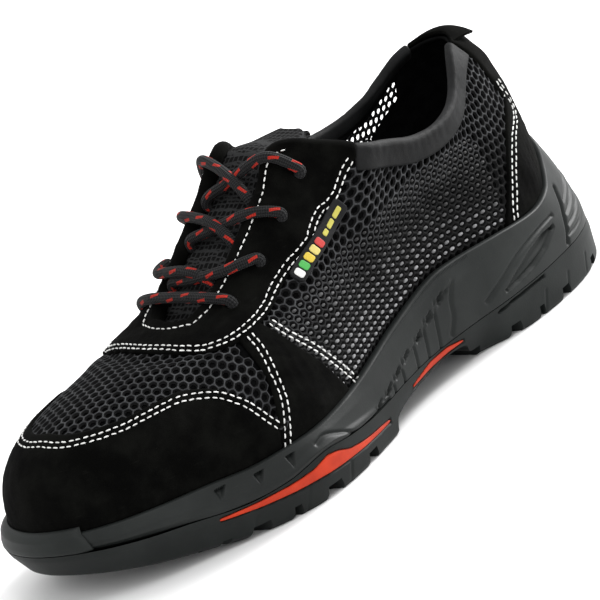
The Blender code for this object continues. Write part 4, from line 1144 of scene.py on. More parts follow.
# %%
def panel(name, U, V, base, thick, seed, slot="suede", wrap=0, round_r=0.0011, puff=0.00025, rim=0.0):
    """Panel over the upper, in place of the CAD node of its name. wrap adds rows turned over the top edge."""
    mid = lay(U, V, base)
    low, high, left, right = edge_distance(mid)
    near = np.minimum(np.minimum(left, right), low if wrap else np.minimum(low, high))
    t = np.clip(near / round_r, 0.0, 1.0)
    body = thick * rounded(near, round_r, 0.02)
    wave = soft_noise(mid, 0.018, seed)
    fuzz = soft_noise(mid, 0.0045, seed + 1)
    fade = np.clip(near / 0.006, 0.0, 1.0)
    swell = rim * np.exp(-(high / 0.0022)**2)
    lift = base + body + (puff * (wave + 0.6) + 0.00008 * fuzz) * fade - seam_dent(mid) * t + swell
    outer = lay(U, V, lift)
    inner = lay(U, V, base)
    if wrap:
        top_u = U[:, -1]
        n_out = unit(lay(top_u, 1.0, MM) - lay(top_u, 1.0, 0.0))
        up = unit(lay(top_u, 1.0, 0.0) - lay(top_u, 0.97, 0.0))
        hem = 0.0007 + rim * 0.5
        centre = lay(top_u, 1.0, -UPPER_WALL / 2)
        rows_out, rows_in = [], []
        for a in np.linspace(0.0, math.pi, wrap)[1:]:
            way = n_out * math.cos(a) + up * math.sin(a)
            grow = (lift[:, -1] * (1 - a / math.pi) + hem * a / math.pi)[:, None]
            rows_out.append(centre + way * (UPPER_WALL / 2 + grow))
            rows_in.append(centre + way * (UPPER_WALL / 2 + base * 0.6))
        for f in np.linspace(0.0012, 0.005, 5):
            thin = hem * math.sqrt(max(0.04, 1 - (f / 0.0052)**2))
            rows_out.append(centre - n_out * (UPPER_WALL / 2 + thin) - up * f)
            rows_in.append(centre - n_out * (UPPER_WALL / 2 + base * 0.4) - up * f)
        outer = np.concatenate([outer, np.stack(rows_out, axis=1)], axis=1)
        inner = np.concatenate([inner, np.stack(rows_in, axis=1)], axis=1)
    keep(shell(name, outer, inner), slot, (name,))


def span_grid(us, low, high, rows, pull=0.6):
    """Places of a panel between two edges given for each column."""
    t = ends_close(rows, pull)
    V = low[:, None] * (1 - t) + high[:, None] * t
    return np.repeat(us[:, None], rows, axis=1), V


def lip_v(u, gap=0.0012):
    return v_high(u, lip_z(u) + gap)


# Toe cap: its ends slant along the side bands
FORE_LINE = Profile(BAND_FORE, 1.0)
REAR_LINE = Profile(BAND_REAR, 1.0)
CAP_START = FORE_LINE.at(0.0) + 0.02


def cap_slant(u, v):
    """The toe cap's ends run along the side bands."""
    fold = min(u, TURN - u)
    pull = max(0.0, 1.0 - (fold - CAP_START))
    moved = fold + (FORE_LINE.at(v) + 0.02 - CAP_START) * pull
    return moved if u <= HALF else TURN - moved


us = np.linspace(CAP_START, TURN - CAP_START, 300)
CAP_ROWS = 40
t = ends_close(CAP_ROWS)
U = np.repeat(us[:, None], CAP_ROWS, axis=1)
for _ in range(3):
    low = lip_v(U, 0.0)
    cap_z = np.vectorize(TOE_CAP_TOP)(U)
    high = v_high(U, np.maximum(cap_z, lip_z(U) + 0.003))
    V = low * (1 - t) + high * t
    U = np.array([[cap_slant(u, v) for v in row] for u, row in zip(us, V)])
panel("toe_cap", U, V, 0.0006, OVERLAY_THICKNESS, 11, puff=0.0002)

# Eyestay, all round the throat and over its edge
us = np.linspace(7.03, TURN - 7.03, 440)
width = np.array([STAY_SPAN(u) for u in us])
ruffle = 0.35 * MM * np.sin(us * 7.1) * (us > HALF)
U, V = span_grid(us, v_down(us, width + ruffle), np.ones(len(us)), 36)
panel("eyestay", U, V, 0.0007, OVERLAY_THICKNESS, 23, wrap=9, rim=0.0007)


def band_grid(side):
    """Side band between its slanting edges."""
    cols, rows = 70, 90
    U = np.zeros((cols, rows))
    V = np.zeros((cols, rows))
    for i, s in enumerate(ends_close(cols)):
        mid = REAR_LINE.at(0.4) * (1 - s) + FORE_LINE.at(0.4) * s
        v0 = float(lip_v(np.array([mid]), 0.0)[0])
        v1 = float(v_down(np.array([mid]), EYESTAY_SPAN(mid) - 0.004)[0])
        for j, q in enumerate(ends_close(rows)):
            v = v0 + (v1 - v0) * q
            U[i, j] = to_side(REAR_LINE.at(v) * (1 - s) + (FORE_LINE.at(v) + 0.03) * s, side)
            V[i, j] = v
    return U, V


for side, label in SIDES:
    U, V = band_grid(side)
    panel("side_band_" + label, U, V, 0.0003, OVERLAY_THICKNESS, 31, puff=0.0004)

# Heel counter
us = np.linspace(TURN - 3.02, TURN + 3.02, 260)
fold = np.abs(us - TURN)
top = np.array([COUNTER_TOP(f) for f in fold])
U, V = span_grid(us, lip_v(us, 0.0), v_high(us, np.maximum(top, lip_z(us) + 0.002)), 46)
panel("heel_counter", U, V, 0.0003, OVERLAY_THICKNESS, 41, puff=0.0003)

# Collar bands, smooth and bound over the edge
for label, u0, u1 in (("outer", 1.47, 7.05), ("inner", TURN - 7.05, TURN - 1.47)):
    us = np.linspace(u0, u1, 200)
    U, V = span_grid(us, v_down(us, np.full(len(us), COLLAR_BAND_WIDTH)), np.ones(len(us)), 20)
    panel("collar_band_" + label, U, V, 0.0003, 0.0009, 51, slot="binding",
          wrap=12, round_r=0.0009, puff=0.00018, rim=0.0005)


def pull_tab():
    """Heel strap, bent back at the collar as a short free tab."""
    us = np.linspace(-STRAP_HALF, STRAP_HALF, 60)
    rows = 46
    low = v_high(us + TURN, np.array([COUNTER_TOP(abs(u)) for u in us]) + 0.0004)
    share = us / STRAP_HALF
    t = ends_close(rows, 0.3)
    U = np.repeat((us + TURN)[:, None], rows, axis=1)
    V = low[:, None] * (1 - t) + t
    side_gap = (1 - np.abs(share)) * STRAP_HALF * 0.0095
    body = lay(U, V, 0.0003)
    thick = OVERLAY_THICKNESS * rounded(side_gap, 0.0009, 0.05)[:, None]
    outer = lay(U, V, 0.0003 + thick + 0.0002 * soft_noise(body, 0.012, 61))
    root = lay(us + TURN, 1.0, 0.0) + np.array([0.0, 0.0, PULL_TAB_BOW])
    tip = np.stack([np.full(60, PULL_TAB_X), share * PULL_TAB_WIDTH / 2,
                    PULL_TAB_TOP - share**2 * PULL_TAB_DROOP], axis=1)
    way = tip - root
    under = unit(np.cross(way, np.array([0.0, 1.0, 0.0])))
    more_out, more_in = [], []
    for q in np.linspace(0.12, 1.0, 26):
        p = root + way * q
        sag = np.array([0.0, 0.0, 0.0006]) * math.sin(q * math.pi)
        end = math.sqrt(max(0.05, 1 - max(0.0, (q - 0.93) / 0.07)**2))
        more_out.append(p + under * (0.0003 + thick * end) + sag)
        more_in.append(p + under * 0.0003 + sag)
    outer = np.concatenate([outer, np.stack(more_out, axis=1)], axis=1)
    inner = np.concatenate([body, np.stack(more_in, axis=1)], axis=1)
    keep(shell("heel_pull_tab", outer, inner), "suede", ("heel_pull_tab",))


pull_tab()
print("panels made")

# %% [markdown]
# ## Lining
#
# The dark lining follows the inside of the upper. A belt below the collar is left open,
# because light comes through the knit there in the photo.

# %%
us = np.linspace(0.0, TURN, 320, endpoint=False)
vs = np.linspace(0.0, 1.0, 50)
U, V = np.meshgrid(us, vs, indexing="ij")
lining = shell("lining", lay(U, V, -0.0007), lay(U, V, -UPPER_WALL), wrap=True)
fold = folded(U)
down = np.array([np.interp(vs, GRID_V, column_mix(DOWN, u)) for u in us])
open_belt = (fold > 1.9) & (fold < 7.0) & (down > 0.0062) & (down < 0.0185)
hole = np.tile(open_belt.ravel(), 2)
bm = bmesh.new()
bm.from_mesh(lining.data)
bm.faces.ensure_lookup_table()
gone = [f for f in bm.faces if all(hole[v.index] for v in f.verts)]
bmesh.ops.delete(bm, geom=gone, context="FACES")
bm.to_mesh(lining.data)
bm.free()
keep(lining, "knit", ("upper",), material="lining")
print("lining faces:", len(lining.data.polygons))


# %% [markdown]
# ## Hexagonal knit
#
# One cell is a small ring: a raised hexagonal rim that falls to a round hole. A Geometry
# Nodes tree sets the cell on every point of a flat lattice, joins the cells where they
# meet and gives the finish. The flat sheet is then laid over the upper.

# %%
CELL = 3.75 * MM
# Rings of one cell from its rim to its hole: share of the strand, height in mm, paleness (painted light: a painted
# highlight on the rim, painted shade down into the hole)
RING_FORM = [(1.0, 0.50, 1.0), (0.55, 0.44, 0.75), (0.12, 0.20, 0.15), (0.0, 0.0, 0.0), (-0.8, -0.35, 0.0)]


def cell_ring():
    """Flat hexagonal cell, pointy in Y, with a raised rim and a round hole."""
    steps = 12
    angle = np.arange(steps) * 2 * math.pi / steps
    sector = (angle + math.pi / 6) % (math.pi / 3) - math.pi / 6
    rim = CELL / 2 / np.cos(sector)
    hole = CELL / 2 * 0.80
    rings, painted_light_tone = [], []
    for share, height, shade in RING_FORM:
        r = hole + (rim - hole) * share
        painted_light_tone.extend([shade] * steps)
        rings.append(np.stack([r * np.cos(angle), r * np.sin(angle), np.full(steps, height * MM)], axis=1))
    faces = []
    for k in range(len(rings) - 1):
        for i in range(steps):
            j = (i + 1) % steps
            faces.append((k * steps + i, k * steps + j, (k + 1) * steps + j, (k + 1) * steps + i))
    mesh = bpy.data.meshes.new("cell")
    mesh.from_pydata(np.concatenate(rings).tolist(), [], faces)
    # The crest attribute holds painted light: pale on the rim, dark down into the hole.
    crest = mesh.attributes.new("crest", "FLOAT", "POINT")
    crest.data.foreach_set("value", np.array(painted_light_tone, np.float32))
    return add("cell", mesh)


def scatter_tree(name, oriented):
    """Tree that sets a piece on each point, joins what touches and gives the finish."""
    tree = bpy.data.node_groups.new(name, "GeometryNodeTree")
    face = tree.interface
    for label, kind in (("Geometry", "Geometry"), ("Piece", "Object"), ("Size Spread", "Float"),
                        ("Seed", "Int"), ("Join Distance", "Float"), ("Finish", "Material")):
        face.new_socket(name=label, in_out="INPUT", socket_type="NodeSocket" + kind)
    face.new_socket(name="Geometry", in_out="OUTPUT", socket_type="NodeSocketGeometry")
    start = tree.nodes.new("NodeGroupInput")
    end = tree.nodes.new("NodeGroupOutput")
    link = tree.links.new
    info = tree.nodes.new("GeometryNodeObjectInfo")
    link(start.outputs["Piece"], info.inputs["Object"])
    spread = tree.nodes.new("FunctionNodeRandomValue")
    spread.data_type = "FLOAT"
    link(calc(tree, "SUBTRACT", 1.0, start.outputs["Size Spread"]), spread.inputs[2])
    link(calc(tree, "ADD", 1.0, start.outputs["Size Spread"]), spread.inputs[3])
    link(start.outputs["Seed"], spread.inputs["Seed"])
    put = tree.nodes.new("GeometryNodeInstanceOnPoints")
    link(start.outputs["Geometry"], put.inputs["Points"])
    link(info.outputs["Geometry"], put.inputs["Instance"])
    link(spread.outputs[1], put.inputs["Scale"])
    if oriented:
        turn = None
        for label, axis, pivot in (("way", "X", "AUTO"), ("out", "Z", "X")):
            read = tree.nodes.new("GeometryNodeInputNamedAttribute")
            read.data_type = "FLOAT_VECTOR"
            read.inputs["Name"].default_value = label
            align = tree.nodes.new("FunctionNodeAlignRotationToVector")
            align.axis = axis
            align.pivot_axis = pivot
            if turn:
                link(turn, align.inputs["Rotation"])
            link(read.outputs[0], align.inputs["Vector"])
            turn = align.outputs[0]
        link(turn, put.inputs["Rotation"])
    real = tree.nodes.new("GeometryNodeRealizeInstances")
    link(put.outputs[0], real.inputs[0])
    join = tree.nodes.new("GeometryNodeMergeByDistance")
    link(real.outputs[0], join.inputs["Geometry"])
    link(start.outputs["Join Distance"], join.inputs["Distance"])
    paint = tree.nodes.new("GeometryNodeSetMaterial")
    link(join.outputs[0], paint.inputs["Geometry"])
    link(start.outputs["Finish"], paint.inputs["Material"])
    link(paint.outputs[0], end.inputs["Geometry"])
    return tree


TREES = {True: scatter_tree("set_pieces_along", True), False: scatter_tree("set_cells", False)}


def scatter(name, points, piece, material, ways=None, outs=None, spread=0.0, seed=1, join=0.0, pale=None):
    """Plain mesh of a piece set on every point."""
    mesh = bpy.data.meshes.new(name)
    mesh.from_pydata(np.asarray(points).tolist(), [], [])
    if ways is not None:
        for label, values in (("way", ways), ("out", outs)):
            layer = mesh.attributes.new(label, "FLOAT_VECTOR", "POINT")
            layer.data.foreach_set("vector", np.asarray(values, np.float32).ravel())
    if pale is not None:
        mesh.attributes.new("pale", "FLOAT", "POINT").data.foreach_set("value", np.asarray(pale, np.float32))
    item = add(name, mesh)
    mod = item.modifiers.new("set", "NODES")
    tree = TREES[ways is not None]
    mod.node_group = tree
    names = {s.name: s.identifier for s in tree.interface.items_tree if s.in_out == "INPUT"}
    mod[names["Piece"]] = piece
    mod[names["Size Spread"]] = float(spread)
    mod[names["Seed"]] = int(seed)
    mod[names["Join Distance"]] = float(join)
    mod[names["Finish"]] = MATS[material]
    bpy.context.view_layer.update()
    graph = bpy.context.evaluated_depsgraph_get()
    done = bpy.data.meshes.new_from_object(item.evaluated_get(graph))
    item.modifiers.clear()
    item.data = done
    return item


CELL_PIECE = cell_ring()


def lattice(x0, x1, y0, y1):
    """Centres of a hexagonal lattice in a flat box, rows along X."""
    pitch_y = CELL * math.sqrt(3) / 2
    rows = np.arange(math.floor(y0 / pitch_y), math.ceil(y1 / pitch_y) + 1)
    out = []
    for r in rows:
        shift = 0.5 * CELL * (r % 2)
        cols = np.arange(math.floor(x0 / CELL), math.ceil(x1 / CELL) + 1)
        out.extend((c * CELL + shift, r * pitch_y, 0.0) for c in cols)
    return np.array(out)


def knit_sheet(name, centres, lay_flat, shade=None):
    """Flat cells joined, then laid on the upper by a function of their flat place."""
    item = scatter(name, centres, CELL_PIECE, "knit", join=0.00002)
    mesh = item.data
    co = np.zeros(len(mesh.vertices) * 3)
    mesh.vertices.foreach_get("co", co)
    co = co.reshape(-1, 3)
    # The crest's painted light is scaled by shade, a function of the flat height.
    if shade:
        painted_light_tone = np.zeros(len(co))
        mesh.attributes["crest"].data.foreach_get("value", painted_light_tone)
        mesh.attributes["crest"].data.foreach_set("value", (painted_light_tone * shade(co[:, 1])).astype(np.float32))
    placed = lay_flat(co[:, 0], co[:, 1], co[:, 2]) - ORIGIN
    mesh.vertices.foreach_set("co", placed.ravel())
    mesh.update()
    face_outward(mesh)
    return item


# Quarters: along the shoe by arc length, up from the lip by rib length
QUARTER_U = np.linspace(1.15, 12.3, 230)
RUN_V = 0.45
QUARTER = {}
for side, _ in SIDES:
    us = to_side(QUARTER_U, side)
    run = run_along(lay(us, RUN_V))
    lip_down = np.array([np.interp(v, GRID_V, column_mix(DOWN, u)) for u, v in zip(us, lip_v(us, 0.0))])
    QUARTER[side] = (run, us, lip_down)


def quarter_place(side, x, y):
    """Place u and distance down of a flat quarter point."""
    run, us, lip_down = QUARTER[side]
    u = np.interp(x, run, us)
    down = np.interp(x, run, lip_down) - y
    return u, down


def quarter_layer(side, base):
    def lay_flat(x, y, z):
        u, down = quarter_place(side, x, y)
        return lay(u, v_down(u, np.maximum(down, 0.0)), z + base)
    return lay_flat


BUMPS = []
for side, label in SIDES:
    run, us, lip_down = QUARTER[side]
    flat = lattice(0.0, run[-1], 0.0, 0.085)
    flat = flat[(flat[:, 0] > 0) & (flat[:, 0] < run[-1])]
    u, down = quarter_place(side, flat[:, 0], flat[:, 1])
    fold = folded(u)
    v = v_down(u, np.maximum(down, 0.0))
    z = lay(u, v)[:, 2]
    stay = np.array([STAY_SPAN(f) if f >= 7.0 else COLLAR_BAND_WIDTH for f in fold])
    rear = np.array([REAR_LINE.at(min(max(q, 0.05), 0.9)) for q in v])
    top = np.array([COUNTER_TOP(min(f, 3.0)) if f < 3.0 else 0.0 for f in fold])
    good = (down > stay - 0.0035) & (fold < rear + 0.28) & (z > lip_z(u) - 0.003) & (z > top - 0.003)
    good &= fold > QUARTER_U[0]
    # The strands' painted light is dimmed towards the lip.
    item = knit_sheet("knit_quarter_" + label, flat[good], quarter_layer(side, 0.0001),
                      lambda y: np.clip((y - 0.014) / 0.024, 0.22, 1.0))
    keep(item, "knit")
    low = (flat[:, 1] > 0.001) & (flat[:, 1] < 0.036) & good & (fold > 2.9) & (fold < rear + 0.05)
    spots = lay(u[low], v[low], 0.00015)
    outs = lay(u[low], v[low], MM) - lay(u[low], v[low], 0.0)
    reach = np.clip(0.012 + 0.0036 * (fold[low] - 3.0), 0.012, 0.034)
    pale = np.clip(1.15 - flat[low, 1] / reach, 0.02, 1.0)
    pale = pale * np.random.default_rng(7).uniform(0.7, 1.0, len(spots))
    BUMPS.append((spots, outs / MM, pale))
    print(label, "quarter cells:", good.sum())

# Vamp: along the shoe by plan length, across it by the length of the section
faces = grid_faces(NU, NV + 1, wrap=True).tolist()
tree = BVHTree.FromPolygons([Vector(p) for p in P.reshape(-1, 3)], faces)
VAMP_X = np.linspace(0.150, 0.292, 143)
VAMP_Y = np.linspace(-0.054, 0.054, 217)
Z = np.zeros((len(VAMP_X), len(VAMP_Y)))
for i, x in enumerate(VAMP_X):
    for j, y in enumerate(VAMP_Y):
        hit = tree.ray_cast(Vector((x, y, 0.2)), Vector((0, 0, -1)))[0]
        Z[i, j] = hit.z if hit is not None else np.nan
for i in range(len(VAMP_X)):
    ok = ~np.isnan(Z[i])
    if ok.any():
        Z[i] = np.interp(VAMP_Y, VAMP_Y[ok], Z[i][ok])
    else:
        Z[i] = Z[i - 1]
for i, x in enumerate(VAMP_X):
    throat = (np.abs(VAMP_Y) < 0.0135) & (x < 0.2045)
    if throat.any():
        Z[i][throat] = np.interp(VAMP_Y[throat], VAMP_Y[~throat], Z[i][~throat])
mid = len(VAMP_Y) // 2
S = np.zeros(Z.shape)
step = np.sqrt(np.diff(Z, axis=1)**2 + np.diff(VAMP_Y)[None]**2)
S[:, 1:] = np.cumsum(step, axis=1)
S = S - S[:, mid:mid + 1]


def vamp_point(x, s, lift):
    """Point of the vamp at a plan length and a length across the section."""
    f = np.clip((x - VAMP_X[0]) / (VAMP_X[1] - VAMP_X[0]), 0, len(VAMP_X) - 1.001)
    i = f.astype(int)
    t = f - i
    y = np.zeros(len(x))
    z = np.zeros(len(x))
    for k in range(len(x)):
        row_s = S[i[k]] * (1 - t[k]) + S[i[k] + 1] * t[k]
        row_z = Z[i[k]] * (1 - t[k]) + Z[i[k] + 1] * t[k]
        y[k] = np.interp(s[k], row_s, VAMP_Y)
        z[k] = np.interp(y[k], VAMP_Y, row_z)
    spots = np.stack([x, y, z], axis=1)
    if lift is None:
        return spots
    out = np.zeros(spots.shape)
    for k, p in enumerate(spots):
        near = tree.find_nearest(Vector(p))
        n = np.array(near[1])
        out[k] = n if n[2] > 0 else -n
    return spots + out * lift[:, None]


flat = lattice(0.170, 0.290, -0.075, 0.075)
spots = vamp_point(flat[:, 0], flat[:, 1], None)
uv_tree = point_tree(P.reshape(-1, 3))
keepers = []
for k, p in enumerate(spots):
    where, index, gap = uv_tree.find(p)
    u = GRID_U[index // (NV + 1)]
    j = index % (NV + 1)
    fold = min(u, TURN - u)
    down = DOWN[index // (NV + 1), j]
    inside = fold > 11.86 and gap < 0.004
    inside = inside and down > EYESTAY_SPAN(u) - 0.0035
    inside = inside and p[2] > TOE_CAP_TOP(max(fold, 11.75)) - 0.0035
    if inside:
        keepers.append(k)
item = knit_sheet("knit_vamp", flat[keepers], lambda x, y, z: vamp_point(x, y, z + 0.0001))
keep(item, "knit")
print("vamp cells:", len(keepers))


# %% [markdown]
# ## Sole
#
# The midsole and the outsole follow the same columns as the CAD sole, but with far more of
# them. A carving function, read from short tables in station and height, cuts the leaf at
# the heel, the long swooshes, the notches, the creases and the seats of the coloured strips.

# %%
WALL_COLUMNS = 1300


def even_places(count):
    """Places u whose feet lie evenly round the plan."""
    fine = np.linspace(0.0, TURN, 3200)
    arcs = np.array([rib_values(u)[0] for u in fine[:-1]] + [PERIMETER])
    return np.interp(np.linspace(0.0, PERIMETER, count, endpoint=False), arcs, fine)


WALL_U = even_places(WALL_COLUMNS)
LIP_POINTS = lay(WALL_U, lip_v(WALL_U, 0.0), CLEARANCE + LIP_THICKNESS)
PLAN = np.array([plan_point(rib_values(u)[0]) for u in WALL_U])
PLAN_N = np.array([plan_normal(rib_values(u)[0]) for u in WALL_U])
STATION = PLAN[:, 0] / SHOE_LENGTH


def profile_array(profile):
    return np.array([profile.at(s) for s in STATION])


PART = profile_array(PARTING)
BEDS = profile_array(BED)
BASE = np.array([underside(x) for x in PLAN[:, 0]])
DIPS = np.minimum(PART, BEDS - BED_FLOOR)


def midsole_rings():
    """Inset and height of the midsole's rings for every column."""
    base = PART + CLEARANCE / 2
    lip = LIP_POINTS[:, 2]
    inset_lip = np.sum((PLAN - LIP_POINTS[:, :2]) * PLAN_N, axis=1)
    step = np.minimum(np.maximum(profile_array(STEP), base + TREAD_CHAMFER), lip - TREAD_CHAMFER * 1.6)
    body = inset_lip * ((step - base) / (lip - base))**1.5
    stand = profile_array(STAND)
    insets = [
        np.full(len(base), TREAD_CHAMFER / 5),
        body * 0.30 - stand * 0.5,
        body - stand * 0.5,
        body + stand * 0.5,
        body + (inset_lip - body) * 0.55,
        inset_lip,
    ]
    heights = [
        base,
        base + (step - base) * 0.45,
        step - TREAD_CHAMFER / 4,
        step + TREAD_CHAMFER / 4,
        step + (lip - step) * 0.60,
        lip,
    ]
    return np.stack(insets, axis=1), np.stack(heights, axis=1)


def outsole_rings():
    floor_inset = profile_array(FLOOR_INSET)
    wrap = profile_array(WRAP)
    top = PART - CLEARANCE / 2
    insets = [
        floor_inset + TREAD_CHAMFER / 3 - wrap,
        floor_inset * 0.75 - wrap,
        floor_inset * 0.45 - wrap,
        floor_inset * 0.15 - wrap,
        TREAD_CHAMFER / 5 - wrap,
    ]
    heights = [BASE, BASE + TREAD_CHAMFER / 2, BASE + (top - BASE) * 0.45, BASE + (top - BASE) * 0.80, top]
    return np.stack(insets, axis=1), np.stack(heights, axis=1)


def finer(rings, rows, rounds=2):
    """Rings spread evenly by height and softened at their bends."""
    insets, heights = rings
    t = np.linspace(0.0, 1.0, rows)
    new_z = heights[:, :1] * (1 - t) + heights[:, -1:] * t
    new_i = np.array([np.interp(z, h, i) for z, h, i in zip(new_z, heights, insets)])
    for _ in range(rounds):
        new_i[:, 1:-1] = 0.25 * new_i[:, :-2] + 0.5 * new_i[:, 1:-1] + 0.25 * new_i[:, 2:]
    return new_i, new_z


# Carved lines on the side: depth mm, half width mm, then station mm and height mm of each point
LINES = [
    (0.8, 0.7, [(205, 20.8), (199, 21.6), (191, 18.5), (183, 14.6), (169, 14.4), (158, 14.6)]),
    (0.6, 0.6, [(292, 13.0), (280, 15.5), (262, 15.8), (245, 14.9), (232, 13.9)]),
    (1.7, 0.9, [(25, 36.0), (28, 30.8), (32, 24.0), (36, 17.4)]),
    (1.2, 0.8, [(24.5, 30.0), (16, 32.6), (7, 37.0)]),
    (1.2, 0.8, [(27.5, 26.0), (18, 28.0), (7, 32.0)]),
    (1.2, 0.8, [(30.0, 22.4), (20, 23.6), (8, 27.0)]),
    (1.0, 0.7, [(33.0, 19.4), (22, 19.6), (10, 21.8)]),
    (1.0, 0.8, [(39, 30.4), (52, 29.6), (66, 27.0), (78, 22.6), (88, 18.6)]),
    (0.7, 0.8, [(100, 33.0), (104, 27.0), (106, 21.0), (110, 16.0)]),
    (0.9, 0.7, [(104, 31.6), (112, 29.4), (126, 24.6), (140, 20.4), (156, 16.8), (170, 14.4)]),
]
LEAF_RIM = [(40, 28.6), (52, 26.8), (64, 23.6), (74, 20.0), (80, 17.4)]
LEAF_RIDGE = [(43, 26.2), (52, 23.0), (64, 20.4), (76, 18.4)]
SLIT = [(84.5, 12.2), (78, 12.9), (68, 13.5), (57, 13.8)]
# Notches under the lip: station mm, height mm, width mm, height of the notch mm
TRIANGLES = [(217, 20.2, 3.6, 4.4), (231, 20.4, 3.8, 4.2), (246, 22.0, 4.0, 4.2)]
PANELS = [(109, 30.6), (118, 27.4), (127, 24.2), (138.5, 21.8), (147, 19.4), (156, 17.2), (165, 15.4)]


def line_gap(x, z, points):
    """Distance in mm from each (x, z) to a smooth line."""
    line = smooth_line(points, 60)
    best = np.full(x.shape, 1e9)
    for a, b in zip(line[:-1], line[1:]):
        d = b - a
        t = np.clip(((x - a[0]) * d[0] + (z - a[1]) * d[1]) / max(float(d @ d), 1e-9), 0, 1)
        gap = np.hypot(x - a[0] - t * d[0], z - a[1] - t * d[1])
        best = np.minimum(best, gap)
    return best


def line_mask(x, z, points, half, power=2):
    """1 on a smooth line, falling to 0 beside it."""
    return np.exp(-(line_gap(x, z, points) / half)**power)


def strip_edges(table, scale=1.0):
    """Stations, low edge and high edge of a strip."""
    xs, low, high = np.array(table).T
    return xs * SHOE_LENGTH / scale, low * PARTING_HEIGHT / scale, high * PARTING_HEIGHT / scale


def strip_mask(x, z, table, soft, grow=0.0):
    """1 inside a strip given by station, low and high edge, falling smoothly to 0 outside."""
    xs, lows, highs = strip_edges(table, MM)
    low, high = np.interp(x, xs, lows), np.interp(x, xs, highs)
    inside = np.minimum(np.minimum(z - low, high - z), np.minimum(x - xs[0], xs[-1] - x)) + grow
    t = np.clip(inside / soft + 0.5, 0, 1)
    return t * t * (3 - 2 * t)


def carve_midsole(x, z):
    depth = np.zeros(x.shape)
    for deep, half, points in LINES:
        depth = np.maximum(depth, deep * line_mask(x, z, points, half))
    leaf = strip_mask(x, z, HEEL_LEAF, 0.9)
    ridge = line_mask(x, z, LEAF_RIDGE, 0.9)
    depth = np.maximum(depth, leaf * (2.4 - 1.0 * ridge))
    depth -= 0.7 * line_mask(x, z, LEAF_RIM, 1.3) * (1 - leaf)
    depth = np.maximum(depth, -0.7)
    for cx, cz, w, h in TRIANGLES:
        along = (z - (cz - h / 2)) / h
        half = w / 2 * np.clip(along, 0, 1)
        lean = (along - 0.5) * 1.4
        inside = np.minimum(half - np.abs(x - cx + lean), np.minimum(z - cz + h / 2, cz + h / 2 - z))
        t = np.clip(inside / 0.5 + 0.5, 0, 1)
        depth = np.maximum(depth, 2.2 * t * np.clip(along + 0.2, 0, 1))
    for cx, cz in PANELS:
        inside = np.minimum(1.9 - np.abs(x - cx), 1.3 - np.abs(z - cz + (x - cx) * 0.35))
        t = np.clip(inside / 0.5 + 0.5, 0, 1)
        depth = np.maximum(depth, 2.0 * t)
        joint = np.exp(-((x - cx - 4.0 + (z - cz) * 0.3) / 0.5)**2) * np.clip((cz + 1.5 - z) / 2, 0, 1)
        depth = np.maximum(depth, 0.85 * joint * (z > 12))
    return depth * MM


def carve_outsole(x, z):
    depth = np.zeros(x.shape)
    for table in (FOREFOOT_INSERT, ARCH_INSERT):
        depth = np.maximum(depth, 1.0 * strip_mask(x, z, table, 0.5, 0.35))
    depth = np.maximum(depth, 1.8 * line_mask(x, z, SLIT, 0.45, 4))
    for x0 in (62.0, 46.0, 30.0, 195.0, 218.0, 240.0):
        depth = np.maximum(depth, 0.35 * np.exp(-((x - x0 + z * 0.4) / 0.6)**2) * (z < 9.0))
    return depth * MM


def wall(rings, rows, carve):
    insets, heights = finer(rings, rows)
    x = np.repeat(PLAN[:, :1], rows, axis=1) / MM
    reach = insets + carve(x, heights / MM)
    flat = PLAN[:, None, :] - PLAN_N[:, None, :] * reach[..., None]
    return np.concatenate([flat, heights[..., None]], axis=2)


def round_lip(points, inner_top):
    """Turn the lip's top over in a small round before it meets the upper."""
    top = points[:, -1]
    rows = []
    for a in (0.35, 0.7, 1.0):
        mix = top * (1 - a) + inner_top * a
        mix[:, 2] += 0.0004 * math.sin(a * math.pi)
        rows.append(mix)
    return np.stack(rows, axis=1)


def dip_ring(gap):
    """Ring inside the parting line, where the midsole and the outsole meet."""
    return np.concatenate([PLAN - PLAN_N * DIP_INSET, (DIPS + gap)[:, None]], axis=1)


body = wall(midsole_rings(), 46, carve_midsole)
inner_top = lay(WALL_U, lip_v(WALL_U, 0.0), CLEARANCE)
inner_mid = lay(WALL_U, lip_v(WALL_U, 0.0) * 0.5, CLEARANCE)
inner_low = lay(WALL_U, 0.0, CLEARANCE)
inner_low[:, 2] = BEDS
columns = np.concatenate([dip_ring(CLEARANCE / 2)[:, None], body, round_lip(body, inner_top),
                          inner_mid[:, None], inner_low[:, None]], axis=1)


def close_across(columns):
    """Closed solid from columns round the shoe, with both ends closed straight across."""
    count, rings = columns.shape[:2]
    faces = grid_faces(count, rings, 0, True).tolist()
    half = count // 2
    for k in (0, rings - 1):
        for i in range(half):
            a, b = i * rings + k, (i + 1) * rings + k
            c, d = (count - i - 1) * rings + k, ((count - i) % count) * rings + k
            loop = []
            for q in (a, b, c, d):
                if q not in loop:
                    loop.append(q)
            faces.append(tuple(loop))
    return columns.reshape(-1, 3), faces


midsole = make_mesh("midsole", *close_across(columns))
keep(midsole, "midsole", ("midsole",))

rings = outsole_rings()
body = wall(rings, 30, carve_outsole)
edge_in = body[:, 0].copy()
edge_in[:, :2] -= PLAN_N * 0.0015
columns = np.concatenate([edge_in[:, None], body, dip_ring(-CLEARANCE / 2)[:, None]], axis=1)
outsole = make_mesh("outsole", *close_across(columns))


def arch_shape():
    points = []
    for side in (-1, 1):
        line = smooth_line(ARCH_LINE[1:-1], 40).tolist()
        rows = [ARCH_LINE[0]] + line + [ARCH_LINE[-1]]
        points.extend((s * SHOE_LENGTH, side * BALL_WIDTH, h * ARCH_HEIGHT) for s, h in rows)
    count = len(points) // 2
    faces = [tuple(range(count)), tuple(range(2 * count - 1, count - 1, -1))]
    faces += [(k, count + k, count + (k + 1) % count, (k + 1) % count) for k in range(count)]
    return points, faces


